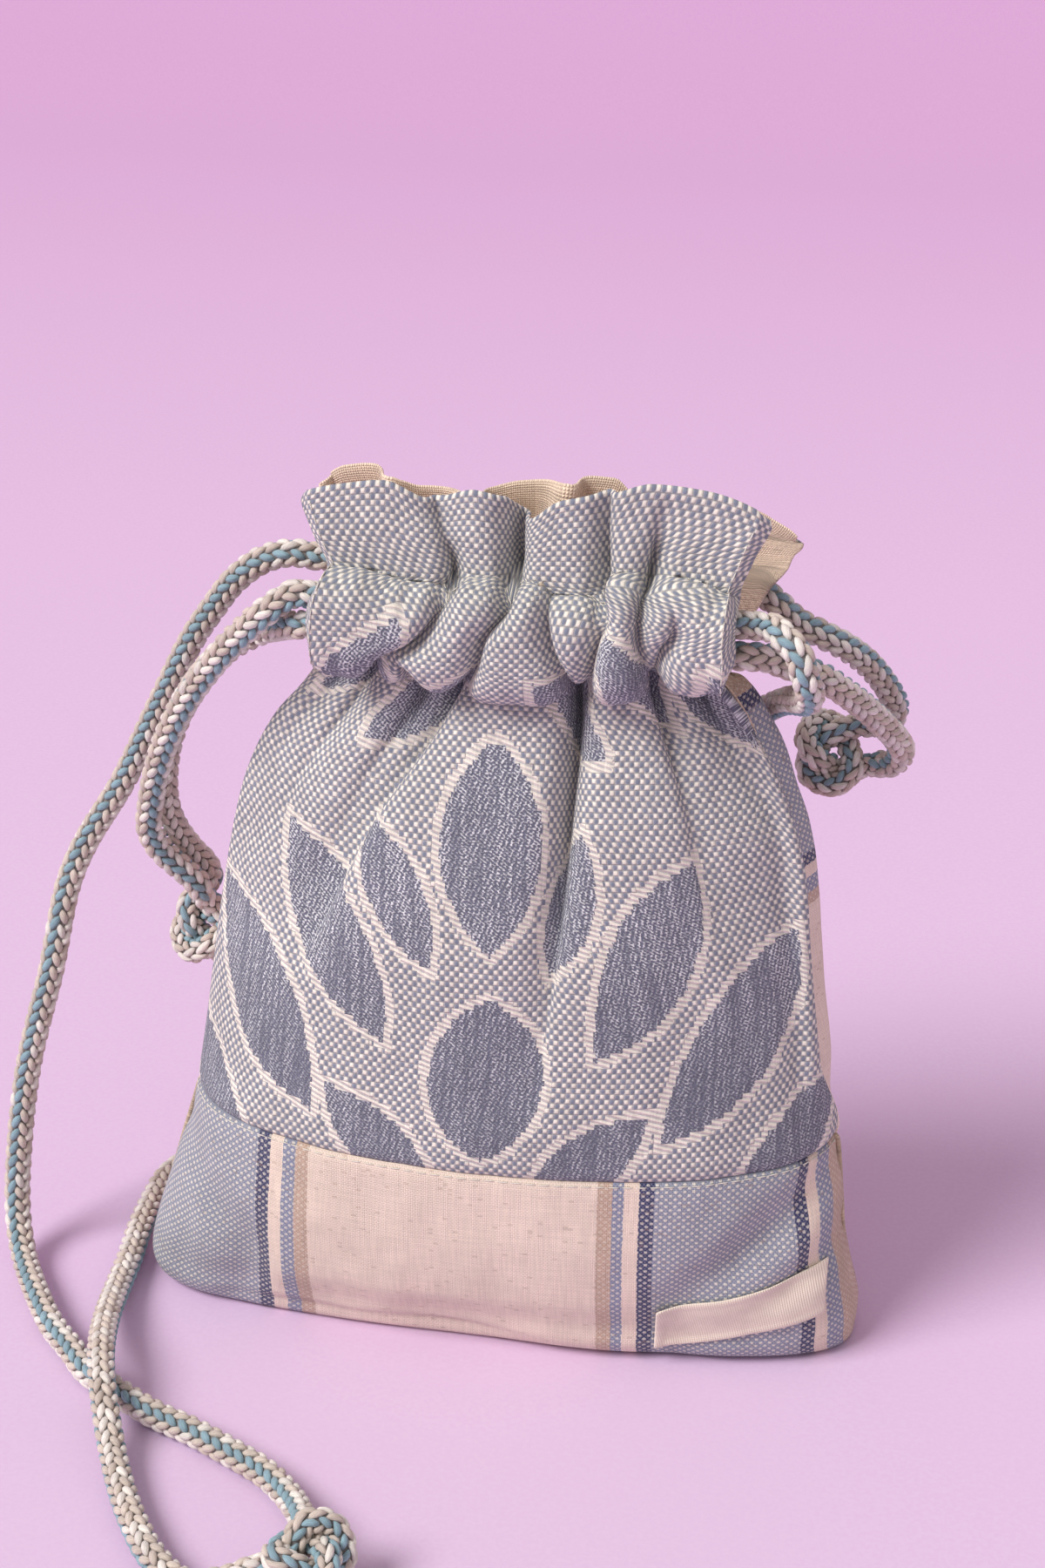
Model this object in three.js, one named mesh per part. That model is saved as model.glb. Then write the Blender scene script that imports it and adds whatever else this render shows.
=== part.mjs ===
// A small patchwork drawstring bag, standing on its flat underside: four outer panels, a two-panel lining,
// a blank side label, and a braided cord that is threaded through the casings of the gathered neck, hangs
// out as a knotted pull tab at either side and forms the strap.
// Millimetres, +Z up, the front of the bag towards -Y, the origin at the middle of the underside.
import * as THREE from "three";

// Cloth and seams
const CLOTH = 1.6; // jacquard, with the turnings behind it
const LINING = 0.8;
const SEAM_GAP = 0.3; // between two panels that are sewn edge to edge
const LAYER_GAP = 0.35; // between the outer cloth and the lining behind it

// The pouch, outside sizes of the outer cloth
const UNDERSIDE_WIDTH = 158;
const UNDERSIDE_DEPTH = 38;
const BOTTOM_SEAM_INSET = 4.7; // the seam along the underside stops this far short of each end
const BOTTOM_ROUND = 7; // height of the rounded edge above the flat underside
const CORNER_OVERHANG = 2; // each bottom corner, past the underside
const CORNER_DEPTH = 52;
const LOW_BELLY_HEIGHT = 26;
const LOW_BELLY_WIDTH = 157;
const LOW_BELLY_DEPTH = 63;
const PATCH_SEAM_HEIGHT = 50; // the striped lower panel meets the figured upper one
const PATCH_SEAM_WIDTH = 147;
const PATCH_SEAM_DEPTH = 66;
const BELLY_HEIGHT = 95;
const BELLY_WIDTH = 134;
const BELLY_DEPTH = 60;
const SHOULDER_HEIGHT = 128;
const SHOULDER_WIDTH = 113;
const SHOULDER_DEPTH = 46;

// The gathered neck: two casings side by side, with a ruffle above them
const SLIT_START = 138; // the side seams are open from here up
const CASING_START = 152; // lower stitch line
const CASING_HEIGHT = 27.5; // lower to upper stitch line
const RUFFLE_HEIGHT = 16.5; // upper stitch line to the top edge
const NECK_WIDTH = 89;
const STITCH_DEPTH = 25; // front to back across the neck at either stitch line
const RUFFLE_WIDTH = 102;
const RUFFLE_DEPTH = 31;
const CASING_SWELL = 5.4; // how far the outer cloth stands out round the cords
const CHANNEL_SWELL = 3.6; // how far the lining is pushed in by them
const PLEATS = 5; // gathers across a panel
const PLEAT_DEPTH = 1.8;
const RUFFLE_PLEAT_DEPTH = 3.4;
const PLEAT_FADE = 55; // the gathers run out this far below the casing
const SIDE_EDGE = 0.4; // 0 rounds the sides as on an ellipse, 1 brings them to an edge at the seams

// Cords
const CORD = 6.4; // braid diameter
const CORD_GAP = 0.3; // between two lengths that meet
const FLOOR_GAP = 0.25; // under a cord that lies on what the bag stands on
const UPPER_RUN_DROP = 6.7; // centre of the upper run under the upper stitch line
const CORD_SPACING = 6.8; // centre of the upper run over the lower one's
const SHORT_OF_END = 6; // a run stops this far inside a casing's end, where another stretch takes over
const SHORT_OF_DRAW = 14; // the left tab's lower stretch starts this far inside, so it can be drawn out
const KNOT = 19; // across an overhand knot
const KNOT_LOBES = 3;
const KNOT_LOBE_DEPTH = 1.33;
const CORD_SIDES = 8;
const CORD_STEP = 15;
const FINE_STEP = 11; // along the short, curlier tabs

// Side label
const LABEL_LENGTH = 41;
const LABEL_HEIGHT = 11.5;
const LABEL_THICKNESS = 0.6;
const LABEL_SETBACK = 2.3; // its sewn end, from the side of the bag
const LABEL_RISE = 6; // higher at the side seam than at its free end
const LABEL_LOW = 4.5;

const COLUMNS = 24;

const CORNER_WIDTH = UNDERSIDE_WIDTH + 2 * CORNER_OVERHANG;
const CASING_TOP = CASING_START + CASING_HEIGHT;
const TOP = CASING_TOP + RUFFLE_HEIGHT;
const UPPER_RUN = CASING_TOP - UPPER_RUN_DROP;
const LOWER_RUN = UPPER_RUN - CORD_SPACING;
const CASING_END = NECK_WIDTH / 2;
const BOTTOM_SEAM_SHARE = 1 - (2 * BOTTOM_SEAM_INSET) / UNDERSIDE_WIDTH;
const CHANNEL_OUTSIDE = STITCH_DEPTH / 2 - CLOTH + CASING_SWELL;
const CHANNEL_INSIDE = STITCH_DEPTH / 2 - CLOTH - LAYER_GAP - CHANNEL_SWELL;
const CORD_Y = (CHANNEL_OUTSIDE + CHANNEL_INSIDE) / 2; // cords lie mid-channel

const PALETTE = {
  figured: { color: 0x8b97ad, roughness: 0.9 },
  striped: { color: 0xd9cdbd, roughness: 0.9 },
  backing: { color: 0x9aa4b4, roughness: 0.9 },
  linen: { color: 0xe4dac8, roughness: 0.95 },
  tape: { color: 0xeee2d2, roughness: 0.85 },
  braid: { color: 0x9fa3a0, roughness: 0.8 },
};

// Half-width and half-depth at each height, from the corners to the top edge.
const STATIONS = [
  [BOTTOM_ROUND, CORNER_WIDTH, CORNER_DEPTH],
  [LOW_BELLY_HEIGHT, LOW_BELLY_WIDTH, LOW_BELLY_DEPTH],
  [PATCH_SEAM_HEIGHT, PATCH_SEAM_WIDTH, PATCH_SEAM_DEPTH],
  [BELLY_HEIGHT, BELLY_WIDTH, BELLY_DEPTH],
  [SHOULDER_HEIGHT, SHOULDER_WIDTH, SHOULDER_DEPTH],
  [CASING_START, NECK_WIDTH, STITCH_DEPTH],
  [CASING_TOP, NECK_WIDTH, STITCH_DEPTH],
  [TOP, RUFFLE_WIDTH, RUFFLE_DEPTH],
];

// Half-width and half-depth at height z: a cubic through the stations that never overshoots one.
function outline(z) {
  const last = STATIONS.length - 2;
  const i = clamp(STATIONS.findIndex(([height]) => height > z) - 1, 0, last);
  const place = z >= STATIONS[last][0] ? last : i;
  const span = (k) => STATIONS[k + 1][0] - STATIONS[k][0];
  const t = clamp((z - STATIONS[place][0]) / span(place), 0, 1);
  const halves = (column) => {
    const secant = (k) => (STATIONS[k + 1][column] - STATIONS[k][column]) / span(k);
    const slope = (k) => {
      if (k === 0 || k > last) return 0;
      const [before, after] = [secant(k - 1), secant(k)];
      return before * after <= 0 ? 0 : (2 * before * after) / (before + after);
    };
    const [from, to] = [STATIONS[place][column], STATIONS[place + 1][column]];
    const rise = t * t * (3 - 2 * t);
    const start = t * (1 - t) ** 2 * slope(place);
    const end = t * t * (t - 1) * slope(place + 1);
    return (from + (to - from) * rise + (start + end) * span(place)) / 2;
  };
  return [halves(1), halves(2)];
}

const { smoothstep, lerp, clamp } = THREE.MathUtils;

// 0 at both stitch lines and 1 where the cords lie.
function channel(z) {
  const t = clamp((z - CASING_START) / CASING_HEIGHT, 0, 1) * 2 - 1;
  return 1 - t ** 4;
}

// Depth of the gathers: none on the belly, full at the casing, deeper up the ruffle.
function pleatDepth(z) {
  const gathered = smoothstep(z, CASING_START - PLEAT_FADE, CASING_START);
  const ruffled = smoothstep(z, CASING_TOP, TOP);
  return PLEAT_DEPTH * gathered + (RUFFLE_PLEAT_DEPTH - PLEAT_DEPTH) * ruffled;
}

// Half-width, half-depth and pleat depth of a layer that lies `inset` inside the outer face.
function section(z, inset, lining) {
  const [halfWidth, halfDepth] = outline(z);
  const open = smoothstep(z, SLIT_START, CASING_START);
  const swell = lining ? -CHANNEL_SWELL : CASING_SWELL;
  return {
    x: halfWidth - inset * (1 - open),
    y: halfDepth - inset + swell * channel(z),
    pleat: pleatDepth(z) * (lining && channel(z) > 0 ? 1 - channel(z) : 1),
    open,
  };
}

// A point of a layer. u runs -1..1 from side seam to side seam. v runs 0..1 across the flat underside
// from the bottom seam, 1..2 round the bottom edge, and past that v - 2 is a height in mm.
function layerPoint(front, u, v, inset, lining = false) {
  const across = lerp(Math.sin((u * Math.PI) / 2), u, SIDE_EDGE);
  const bulge = Math.cos((u * Math.PI) / 2);
  const turn = (clamp(v - 1, 0, 1) * Math.PI) / 2;
  const z = v > 2 ? v - 2 : inset + (BOTTOM_ROUND - inset) * (1 - Math.cos(turn));
  const wall = section(Math.max(z, BOTTOM_ROUND), inset, lining);
  const x = lerp(UNDERSIDE_WIDTH / 2 - inset, wall.x, Math.sin(turn));
  const y = lerp(UNDERSIDE_DEPTH / 2 - inset, wall.y, Math.sin(turn));
  const reach = clamp(v, 0, 1);
  const seam = SEAM_GAP / 2;
  const curve = lerp(bulge, 1, wall.open);
  const pleat = (wall.pleat * curve * (1 + Math.cos(PLEATS * Math.PI * u))) / 2;
  const depth = seam + (y - seam) * curve * reach + pleat;
  return new THREE.Vector3(
    across * x * lerp(BOTTOM_SEAM_SHARE, 1, reach),
    front ? -depth : depth,
    z,
  );
}

// A closed solid between an outer and an inner grid of points, each [row][column].
function slab(outer, inner) {
  const rows = outer.length;
  const columns = outer[0].length;
  const points = [...outer.flat(), ...inner.flat()];
  const id = (layer, r, c) => layer * rows * columns + r * columns + c;
  const index = [];
  const quad = (a, b, c, d) => index.push(a, b, c, a, c, d);
  for (let r = 0; r < rows - 1; r++)
    for (let c = 0; c < columns - 1; c++) {
      quad(id(0, r, c), id(0, r, c + 1), id(0, r + 1, c + 1), id(0, r + 1, c));
      quad(id(1, r, c), id(1, r + 1, c), id(1, r + 1, c + 1), id(1, r, c + 1));
    }
  for (let c = 0; c < columns - 1; c++) {
    quad(id(0, 0, c + 1), id(0, 0, c), id(1, 0, c), id(1, 0, c + 1));
    const top = rows - 1;
    quad(id(0, top, c), id(0, top, c + 1), id(1, top, c + 1), id(1, top, c));
  }
  for (let r = 0; r < rows - 1; r++) {
    quad(id(0, r, 0), id(0, r + 1, 0), id(1, r + 1, 0), id(1, r, 0));
    const end = columns - 1;
    quad(id(0, r + 1, end), id(0, r, end), id(1, r, end), id(1, r + 1, end));
  }
  return closed(points, index);
}

// A geometry of shared points, turned so that its faces point outwards.
function closed(points, index) {
  const volume = index.reduce((sum, _, i) => {
    if (i % 3) return sum;
    const [a, b, c] = [points[index[i]], points[index[i + 1]], points[index[i + 2]]];
    return sum + a.dot(new THREE.Vector3().crossVectors(b, c));
  }, 0);
  const geometry = new THREE.BufferGeometry().setFromPoints(points);
  geometry.setIndex(volume > 0 ? index : index.slice().reverse());
  geometry.computeVertexNormals();
  return geometry;
}

const spread = (from, to, count) =>
  Array.from({ length: count + 1 }, (_, i) => lerp(from, to, i / count));

// Rows of a layer, bottom seam to top edge: v values for layerPoint.
const UNDERSIDE_ROWS = [...spread(0, 1, 2), ...spread(1, 2, 3).slice(1)];
const heights = (from, to, count) => spread(from + 2, to + 2, count);
const LOWER_ROWS = [
  ...UNDERSIDE_ROWS,
  ...heights(BOTTOM_ROUND, PATCH_SEAM_HEIGHT - SEAM_GAP / 2, 5).slice(1),
];
const UPPER_ROWS = [
  ...heights(PATCH_SEAM_HEIGHT + SEAM_GAP / 2, SLIT_START, 6),
  ...heights(SLIT_START, CASING_START, 2).slice(1),
  ...heights(CASING_START, CASING_TOP, 6).slice(1),
  ...heights(CASING_TOP, TOP, 3).slice(1),
];
const LINING_ROWS = [...LOWER_ROWS, ...UPPER_ROWS];

function panel(front, rows, inset, thickness, lining) {
  const grid = (depth) =>
    rows.map((v) =>
      spread(-1, 1, COLUMNS).map((u) => layerPoint(front, u, v, depth, lining)),
    );
  return slab(grid(inset), grid(inset + thickness));
}

// The blank label lies on the front and ends in the right side seam.
function label() {
  const sewnEnd = outline(LABEL_LOW + LABEL_RISE + LABEL_HEIGHT / 2)[0] - LABEL_SETBACK;
  const layer = (lift) =>
    spread(0, 1, 5).map((up) =>
      spread(0, 1, 10).map((along) => {
        const x = sewnEnd - LABEL_LENGTH * (1 - along);
        const z = LABEL_LOW + LABEL_RISE * along + LABEL_HEIGHT * up;
        return frontPointAt(x, z, -lift);
      }),
    );
  return slab(layer(LAYER_GAP + LABEL_THICKNESS), layer(LAYER_GAP));
}

// The point of the front at a given x and height, found by halving the range of u.
function frontPointAt(x, z, inset, halvings = 40) {
  const v = z > BOTTOM_ROUND
    ? z + 2
    : 1 + (Math.acos(1 - clamp(z / BOTTOM_ROUND, 0, 1)) * 2) / Math.PI;
  let low = 0;
  let high = 1;
  for (let i = 0; i < halvings; i++) {
    const middle = (low + high) / 2;
    if (layerPoint(true, middle, v, inset).x < x) low = middle;
    else high = middle;
  }
  return layerPoint(true, low, v, inset);
}

const at = (points) => points.map((p) => new THREE.Vector3(...p));

// A braided cord along a route, as a plain tube with closed ends.
function cord(route, step = CORD_STEP) {
  const path = new THREE.CatmullRomCurve3(at(route), false, "centripetal");
  const profile = new THREE.Shape(
    spread(0, 1, CORD_SIDES)
      .slice(1)
      .map((t) => new THREE.Vector2(0, CORD / 2).rotateAround(new THREE.Vector2(), t * 2 * Math.PI)),
  );
  return new THREE.ExtrudeGeometry(profile, {
    steps: Math.max(1, Math.round(path.getLength() / step)),
    extrudePath: path,
    bevelEnabled: false,
  });
}

// A run of cord straight through a casing.
const run = (y, z, from, to) => cord([[from, y, z], [to, y, z]], to - from);

// An overhand knot pulled tight: a round lump with rounded lobes wound about its axis.
function knot([x, y, z], size = KNOT) {
  const geometry = new THREE.SphereGeometry(size / 2, 14, 10);
  const points = geometry.getAttribute("position");
  for (let i = 0; i < points.count; i++) {
    const p = new THREE.Vector3().fromBufferAttribute(points, i);
    const lobes = Math.cos(KNOT_LOBES * Math.atan2(p.z, p.x) + (2 * p.y * Math.PI) / size);
    const girth = Math.hypot(p.x, p.z) / (size / 2);
    p.multiplyScalar(1 - (KNOT_LOBE_DEPTH / size) * (1 - lobes * girth));
    points.setXYZ(i, p.x + x, p.y + y, p.z + z);
  }
  return geometry;
}

// One cord is threaded through the neck: strap, back casing, right tab, front casing, left tab, front
// casing again, strap. The strap's two stretches meet in a knot on the floor in front of the bag.
const LEFT = -CASING_END - CORD_GAP;
const RIGHT = CASING_END + CORD_GAP;
const INSIDE = CASING_END - SHORT_OF_END;
const DEEP_INSIDE = CASING_END - SHORT_OF_DRAW;
const FLOOR = CORD / 2 + FLOOR_GAP; // height of a cord's centre where it lies

const STRAP_KNOT_AT = [-24, -113.5, KNOT / 2 + FLOOR_GAP];
const STRAP_LEFT_ROUTE = [
  [-INSIDE, CORD_Y, UPPER_RUN], [LEFT - 2, CORD_Y, UPPER_RUN], [-52.8, 11.6, 173.2],
  [-59.2, 12.5, 170.9], [-65.8, 14, 165.3], [-71, 16, 158.2], [-76.5, 17.5, 149.7], [-81.9, 19, 139],
  [-86.8, 20.5, 128.8], [-94.8, 20.5, 111.9], [-103.2, 17, 97.3], [-106.6, 14, 88.3], [-109.8, 8, 68.8],
  [-115.2, 4, 45], [-117.7, 0, 20], [-117, -4, 9.4], [-113.8, -11, FLOOR + 0.4], [-106.1, -25.8, FLOOR],
  [-98.9, -37.5, FLOOR], [-91.7, -46.1, FLOOR], [-86.4, -52.8, FLOOR], [-77.2, -59.6, FLOOR],
  [-68.2, -65.4, FLOOR], [-58.8, -69.9, FLOOR], [-49.3, -75.3, FLOOR], [-39.8, -81.4, FLOOR],
  [-33, -89, FLOOR + 0.7], [-28.6, -97.2, FLOOR + 2.8], [-26.2, -104.2, FLOOR + 4.6],
];
const STRAP_RIGHT_ROUTE = [
  [INSIDE, -CORD_Y, UPPER_RUN], [RIGHT + 4, -CORD_Y, UPPER_RUN], [51.9, -13, 173.2],
  [54.9, -16.8, 172.6], [58, -19.2, 170.2], [59.6, -19.6, 165.6], [60.4, -17.4, 160], [60, -12.5, 155.4],
  [58, -5.8, 152.2], [55.4, 1.4, 149.6], [52.3, 8.2, 146.4], [48, 14.6, 142.4], [41.5, 20.6, 138],
  [33.5, 25.6, 131.5], [23.5, 29.8, 123], [11.5, 33.2, 112.6], [-2, 35.6, 100], [-15, 37, 87],
  [-28, 37.8, 73], [-40, 38.2, 58], [-51, 38.8, 43], [-62, 39.6, 28.5], [-72, 40.4, 16], [-80, 40, 7.8],
  [-86, 36.5, 3.9], [-89.6, 29.5, FLOOR], [-90.4, 18.6, FLOOR], [-90.2, 5, FLOOR], [-89.1, -8.1, FLOOR],
  [-88.2, -21.6, FLOOR + 0.8], [-86, -38.4, 7.2], [-82.5, -54.3, 10.2], [-79.3, -64.8, 10],
  [-75.9, -73.6, 7.5], [-72.6, -81, 4.4], [-67.5, -92.1, FLOOR], [-61.8, -102.6, FLOOR],
  [-55.8, -111.4, FLOOR], [-48, -118, FLOOR], [-39.5, -118.8, FLOOR + 2], [-33, -116.2, FLOOR + 4],
];
const RIGHT_TAB_KNOT_AT = [65, 40, 124.6];
const RIGHT_TAB_FRONT_ROUTE = [
  [RIGHT, -CORD_Y, LOWER_RUN], [RIGHT + 2, -CORD_Y, LOWER_RUN], [51.4, -9, 165], [54.6, -6, 162.8],
  [58.5, -3, 160.6], [62.6, 0, 158], [66.8, 4, 153.8], [71.1, 10, 148.3], [75.5, 18, 141.2],
  [78.9, 25, 134.6], [79.9, 30, 129.7], [78, 34.2, 125.1], [74.9, 36.7, 123.7],
];
const RIGHT_TAB_BACK_ROUTE = [
  [RIGHT, CORD_Y, UPPER_RUN], [RIGHT + 2, CORD_Y, UPPER_RUN], [51.4, 12, 169.4], [55.9, 14, 164.8],
  [61.5, 16, 161.4], [66.6, 19, 157.8], [71.4, 24, 152.4], [75.2, 29, 146.1], [77.6, 34, 139.8],
  [77.4, 38.4, 134.6], [75.6, 40.8, 132.2], [72.9, 41.4, 131.1],
];
const LEFT_TAB_KNOT_AT = [-75.5, 21.5, 77];
const LEFT_TAB_FRONT_ROUTE = [
  [LEFT, -CORD_Y, UPPER_RUN], [LEFT - 2, -CORD_Y, UPPER_RUN], [-53.2, -12.6, 168.4], [-57.9, -11.2, 163.6],
  [-61.9, -9.6, 159], [-69.3, -6, 149.2], [-75.1, -3, 139.5], [-80.1, 0.5, 128], [-83.4, 4, 116.3],
  [-84.9, 7, 107.8], [-83.5, 10, 101.2], [-79.5, 12.5, 95.5], [-76.4, 15, 90.8], [-75.6, 17.6, 86.3],
];
const LEFT_TAB_BACK_ROUTE = [
  [-DEEP_INSIDE, -CORD_Y, LOWER_RUN], [LEFT, -CORD_Y, LOWER_RUN], [-47.6, -9.6, 165], [-51.6, -5.2, 162.6],
  [-57.1, 0, 159.2], [-66, 4, 152.5], [-73.7, 6, 142.6], [-79.2, 8, 131.1], [-81.7, 10, 120.5],
  [-82.3, 12.5, 110.9], [-81.2, 15, 104.5], [-78.8, 19.6, 97.1], [-76.4, 22.8, 92], [-75.8, 25, 87.3],
];

const bag = new THREE.Group();

function add(name, geometry, finish) {
  const mesh = new THREE.Mesh(geometry, new THREE.MeshStandardMaterial(PALETTE[finish]));
  mesh.name = name;
  bag.add(mesh);
}

add("front_upper_panel", panel(true, UPPER_ROWS, 0, CLOTH, false), "figured");
add("front_lower_panel", panel(true, LOWER_ROWS, 0, CLOTH, false), "striped");
add("back_upper_panel", panel(false, UPPER_ROWS, 0, CLOTH, false), "backing");
add("back_lower_panel", panel(false, LOWER_ROWS, 0, CLOTH, false), "linen");
add("front_lining", panel(true, LINING_ROWS, CLOTH + LAYER_GAP, LINING, true), "linen");
add("back_lining", panel(false, LINING_ROWS, CLOTH + LAYER_GAP, LINING, true), "linen");
add("side_label", label(), "tape");

add("back_run", run(CORD_Y, UPPER_RUN, -INSIDE + CORD_GAP, CASING_END), "braid");
add("front_upper_run", run(-CORD_Y, UPPER_RUN, -CASING_END, INSIDE - CORD_GAP), "braid");
add("front_lower_run", run(-CORD_Y, LOWER_RUN, -DEEP_INSIDE + CORD_GAP, CASING_END), "braid");
add("strap_left_stretch", cord(STRAP_LEFT_ROUTE), "braid");
add("strap_right_stretch", cord(STRAP_RIGHT_ROUTE), "braid");
add("strap_knot", knot(STRAP_KNOT_AT), "braid");
add("right_tab_front", cord(RIGHT_TAB_FRONT_ROUTE, FINE_STEP), "braid");
add("right_tab_back", cord(RIGHT_TAB_BACK_ROUTE, FINE_STEP), "braid");
add("right_tab_knot", knot(RIGHT_TAB_KNOT_AT), "braid");
add("left_tab_front", cord(LEFT_TAB_FRONT_ROUTE, FINE_STEP), "braid");
add("left_tab_back", cord(LEFT_TAB_BACK_ROUTE, FINE_STEP), "braid");
add("left_tab_knot", knot(LEFT_TAB_KNOT_AT), "braid");

export default bag;
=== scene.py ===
"""The looks of a small patchwork drawstring bag that stands on its flat base.

Four outer panels (a figured jacquard over a striped cloth in front, a banded cloth over linen behind), a linen
lining, a blank sewn label, a chunky braided cord threaded through the gathered neck, and the stitching.
Everything is in metres, in the frame's own axes: +Z up, the front of the bag towards -Y. Patterns are in mm.
"""

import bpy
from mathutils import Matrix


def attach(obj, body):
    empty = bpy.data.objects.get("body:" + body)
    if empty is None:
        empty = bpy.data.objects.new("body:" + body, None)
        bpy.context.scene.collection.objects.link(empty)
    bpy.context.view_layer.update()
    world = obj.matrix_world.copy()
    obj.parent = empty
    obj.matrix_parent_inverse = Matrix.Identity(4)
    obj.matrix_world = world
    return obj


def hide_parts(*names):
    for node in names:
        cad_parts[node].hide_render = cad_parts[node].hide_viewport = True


bl_info = {
    "name": "Patchwork drawstring bag",
    "version": (1, 0, 0),
    "blender": (4, 5, 0),
    "location": "View3D > Sidebar > Bag",
    "description": "Builds the cloth, braided cord, stitching and stage of a small drawstring bag",
    "category": "Add Mesh",
}

import math

import bpy
import numpy as np
from mathutils import Matrix, Vector, noise

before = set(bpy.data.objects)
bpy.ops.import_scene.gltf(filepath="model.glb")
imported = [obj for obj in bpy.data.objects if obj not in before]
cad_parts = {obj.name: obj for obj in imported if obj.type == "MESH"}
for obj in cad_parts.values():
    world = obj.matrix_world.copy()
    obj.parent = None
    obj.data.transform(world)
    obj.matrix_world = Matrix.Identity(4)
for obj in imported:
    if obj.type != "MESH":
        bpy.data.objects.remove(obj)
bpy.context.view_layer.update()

MM = 0.001
WHITE = (1.0, 1.0, 1.0)

# The pouch: height, left and right half-width, front and back half-depth of the outer cloth, in mm
STATIONS = (
    (7, 84.5, 79.8, 26, 26),
    (17, 82.6, 77.6, 29.5, 29.5),
    (26, 80, 75.6, 31.5, 31.5),
    (34, 77.8, 74.8, 32.5, 32.5),
    (50, 73.5, 73, 33, 33),
    (95, 67, 66.8, 30, 30),
    (114, 63.8, 64.6, 27, 27),
    (125, 61.2, 62, 24, 24),
    (133, 58.2, 59, 21, 21),
    (141, 53.9, 55.6, 17.6, 17.6),
    (148, 48.2, 51.2, 14.6, 14.6),
    (153, 44.6, 47.4, 13.2, 13.2),
    (157, 41, 43.8, 12.5, 12.5),
    (160.5, 40.2, 41.4, 12.5, 12.5),
    (164, 42.4, 44.4, 12.5, 12.5),
    (168, 43.2, 45.3, 12.5, 12.5),
    (173, 42.8, 45, 12.5, 12.5),
    (179.5, 39.6, 45, 12.5, 12.5),
    (186, 42.6, 47.2, 12, 11),
    (196, 45.5, 50.6, 10.5, 7.5),
)
UNDERSIDE_WIDTH, UNDERSIDE_DEPTH = 158, 38
BOTTOM_SEAM_SHARE = 0.94  # the bottom seam's length over the underside's
BOTTOM_ROUND = 7
PATCH_SEAM = 50
SLIT_START = 156
CASING_START, CASING_TOP = 152, 179.5
TOP = 196
BACK_TOP = TOP - 3.4  # where the rows of the back's outer cloth end, before its own edge is drawn
SIDE_EDGE = 0.4
SEAM_HALF_GAP = 0.15
SEAM_FORWARD = 7  # how far the right side seam lies in front of the middle
SEAM_SLACK = 2.4  # how far the cloth beside it moves across with it
FLAP_LOW, FLAP_HIGH, FLAP_BACK = 9, 4.5, 5  # how far the back's right end stands out, low and high, and leans back
FLAP_LINING, FLAP_SLOPE, FLAP_START = 7.85, 0.75, 175.5  # depth of the lining behind it, and from where it leans
CASING_SWELL = 5.4
LOBE, CASING_LOBE = 2.2, 3.8  # how far the gathers' ridges stand out, and further over the cords
CLOTH = 1.05
LINING = 0.6
LAYER_GAP = 0.3
CLOTH_ROOM, LINING_ROOM = 0.6, 0.55  # between the cords and the outer cloth, and the lining
CLOTH_DEPTH, LINING_DEPTH = 2.8, 1.2  # how near the outer cloth and the lining come to the middle plane
LABEL_LENGTH, LABEL_HEIGHT = 36.4, 11.5
LABEL_SEWN_END = 72.5  # its end beside the side seam, across from the middle
LABEL_LOW, LABEL_RISE = 4.5, 8.8
LABEL_THICKNESS = 0.42

# The cord, in metres
CORD = 0.0064
CORD_Y = 0.011625
UPPER_RUN, LOWER_RUN = 0.1728, 0.166
CASING_END = 0.0445
LEFT, RIGHT = -0.0448, 0.0448
INSIDE, DEEP_INSIDE = 0.0385, 0.0305
FLOOR = 0.00345  # height of a cord's centre where it lies
STRAP_LEFT_ROUTE = (
    (-INSIDE, CORD_Y, UPPER_RUN), (LEFT - 0.002, CORD_Y, UPPER_RUN), (-0.0528, 0.0116, 0.1732),
    (-0.0592, 0.0125, 0.1709), (-0.0658, 0.014, 0.1653), (-0.071, 0.016, 0.1582), (-0.0765, 0.0175, 0.1497),
    (-0.0819, 0.019, 0.139), (-0.0868, 0.0205, 0.1288), (-0.0948, 0.0205, 0.1119), (-0.1032, 0.017, 0.0973),
    (-0.1066, 0.014, 0.0883), (-0.1098, 0.008, 0.0688), (-0.1152, 0.004, 0.045), (-0.1177, 0, 0.02),
    (-0.117, -0.004, 0.0094), (-0.1138, -0.011, FLOOR + 0.0004), (-0.1061, -0.0258, FLOOR),
    (-0.0989, -0.0375, FLOOR), (-0.0917, -0.0461, FLOOR), (-0.0864, -0.0528, FLOOR), (-0.0772, -0.0596, FLOOR),
    (-0.0682, -0.0654, FLOOR), (-0.0588, -0.0699, FLOOR), (-0.0493, -0.0753, FLOOR), (-0.0398, -0.0814, FLOOR),
    (-0.033, -0.089, FLOOR + 0.0007), (-0.0286, -0.0972, FLOOR + 0.0028), (-0.0262, -0.1042, FLOOR + 0.0046),
)
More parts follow.
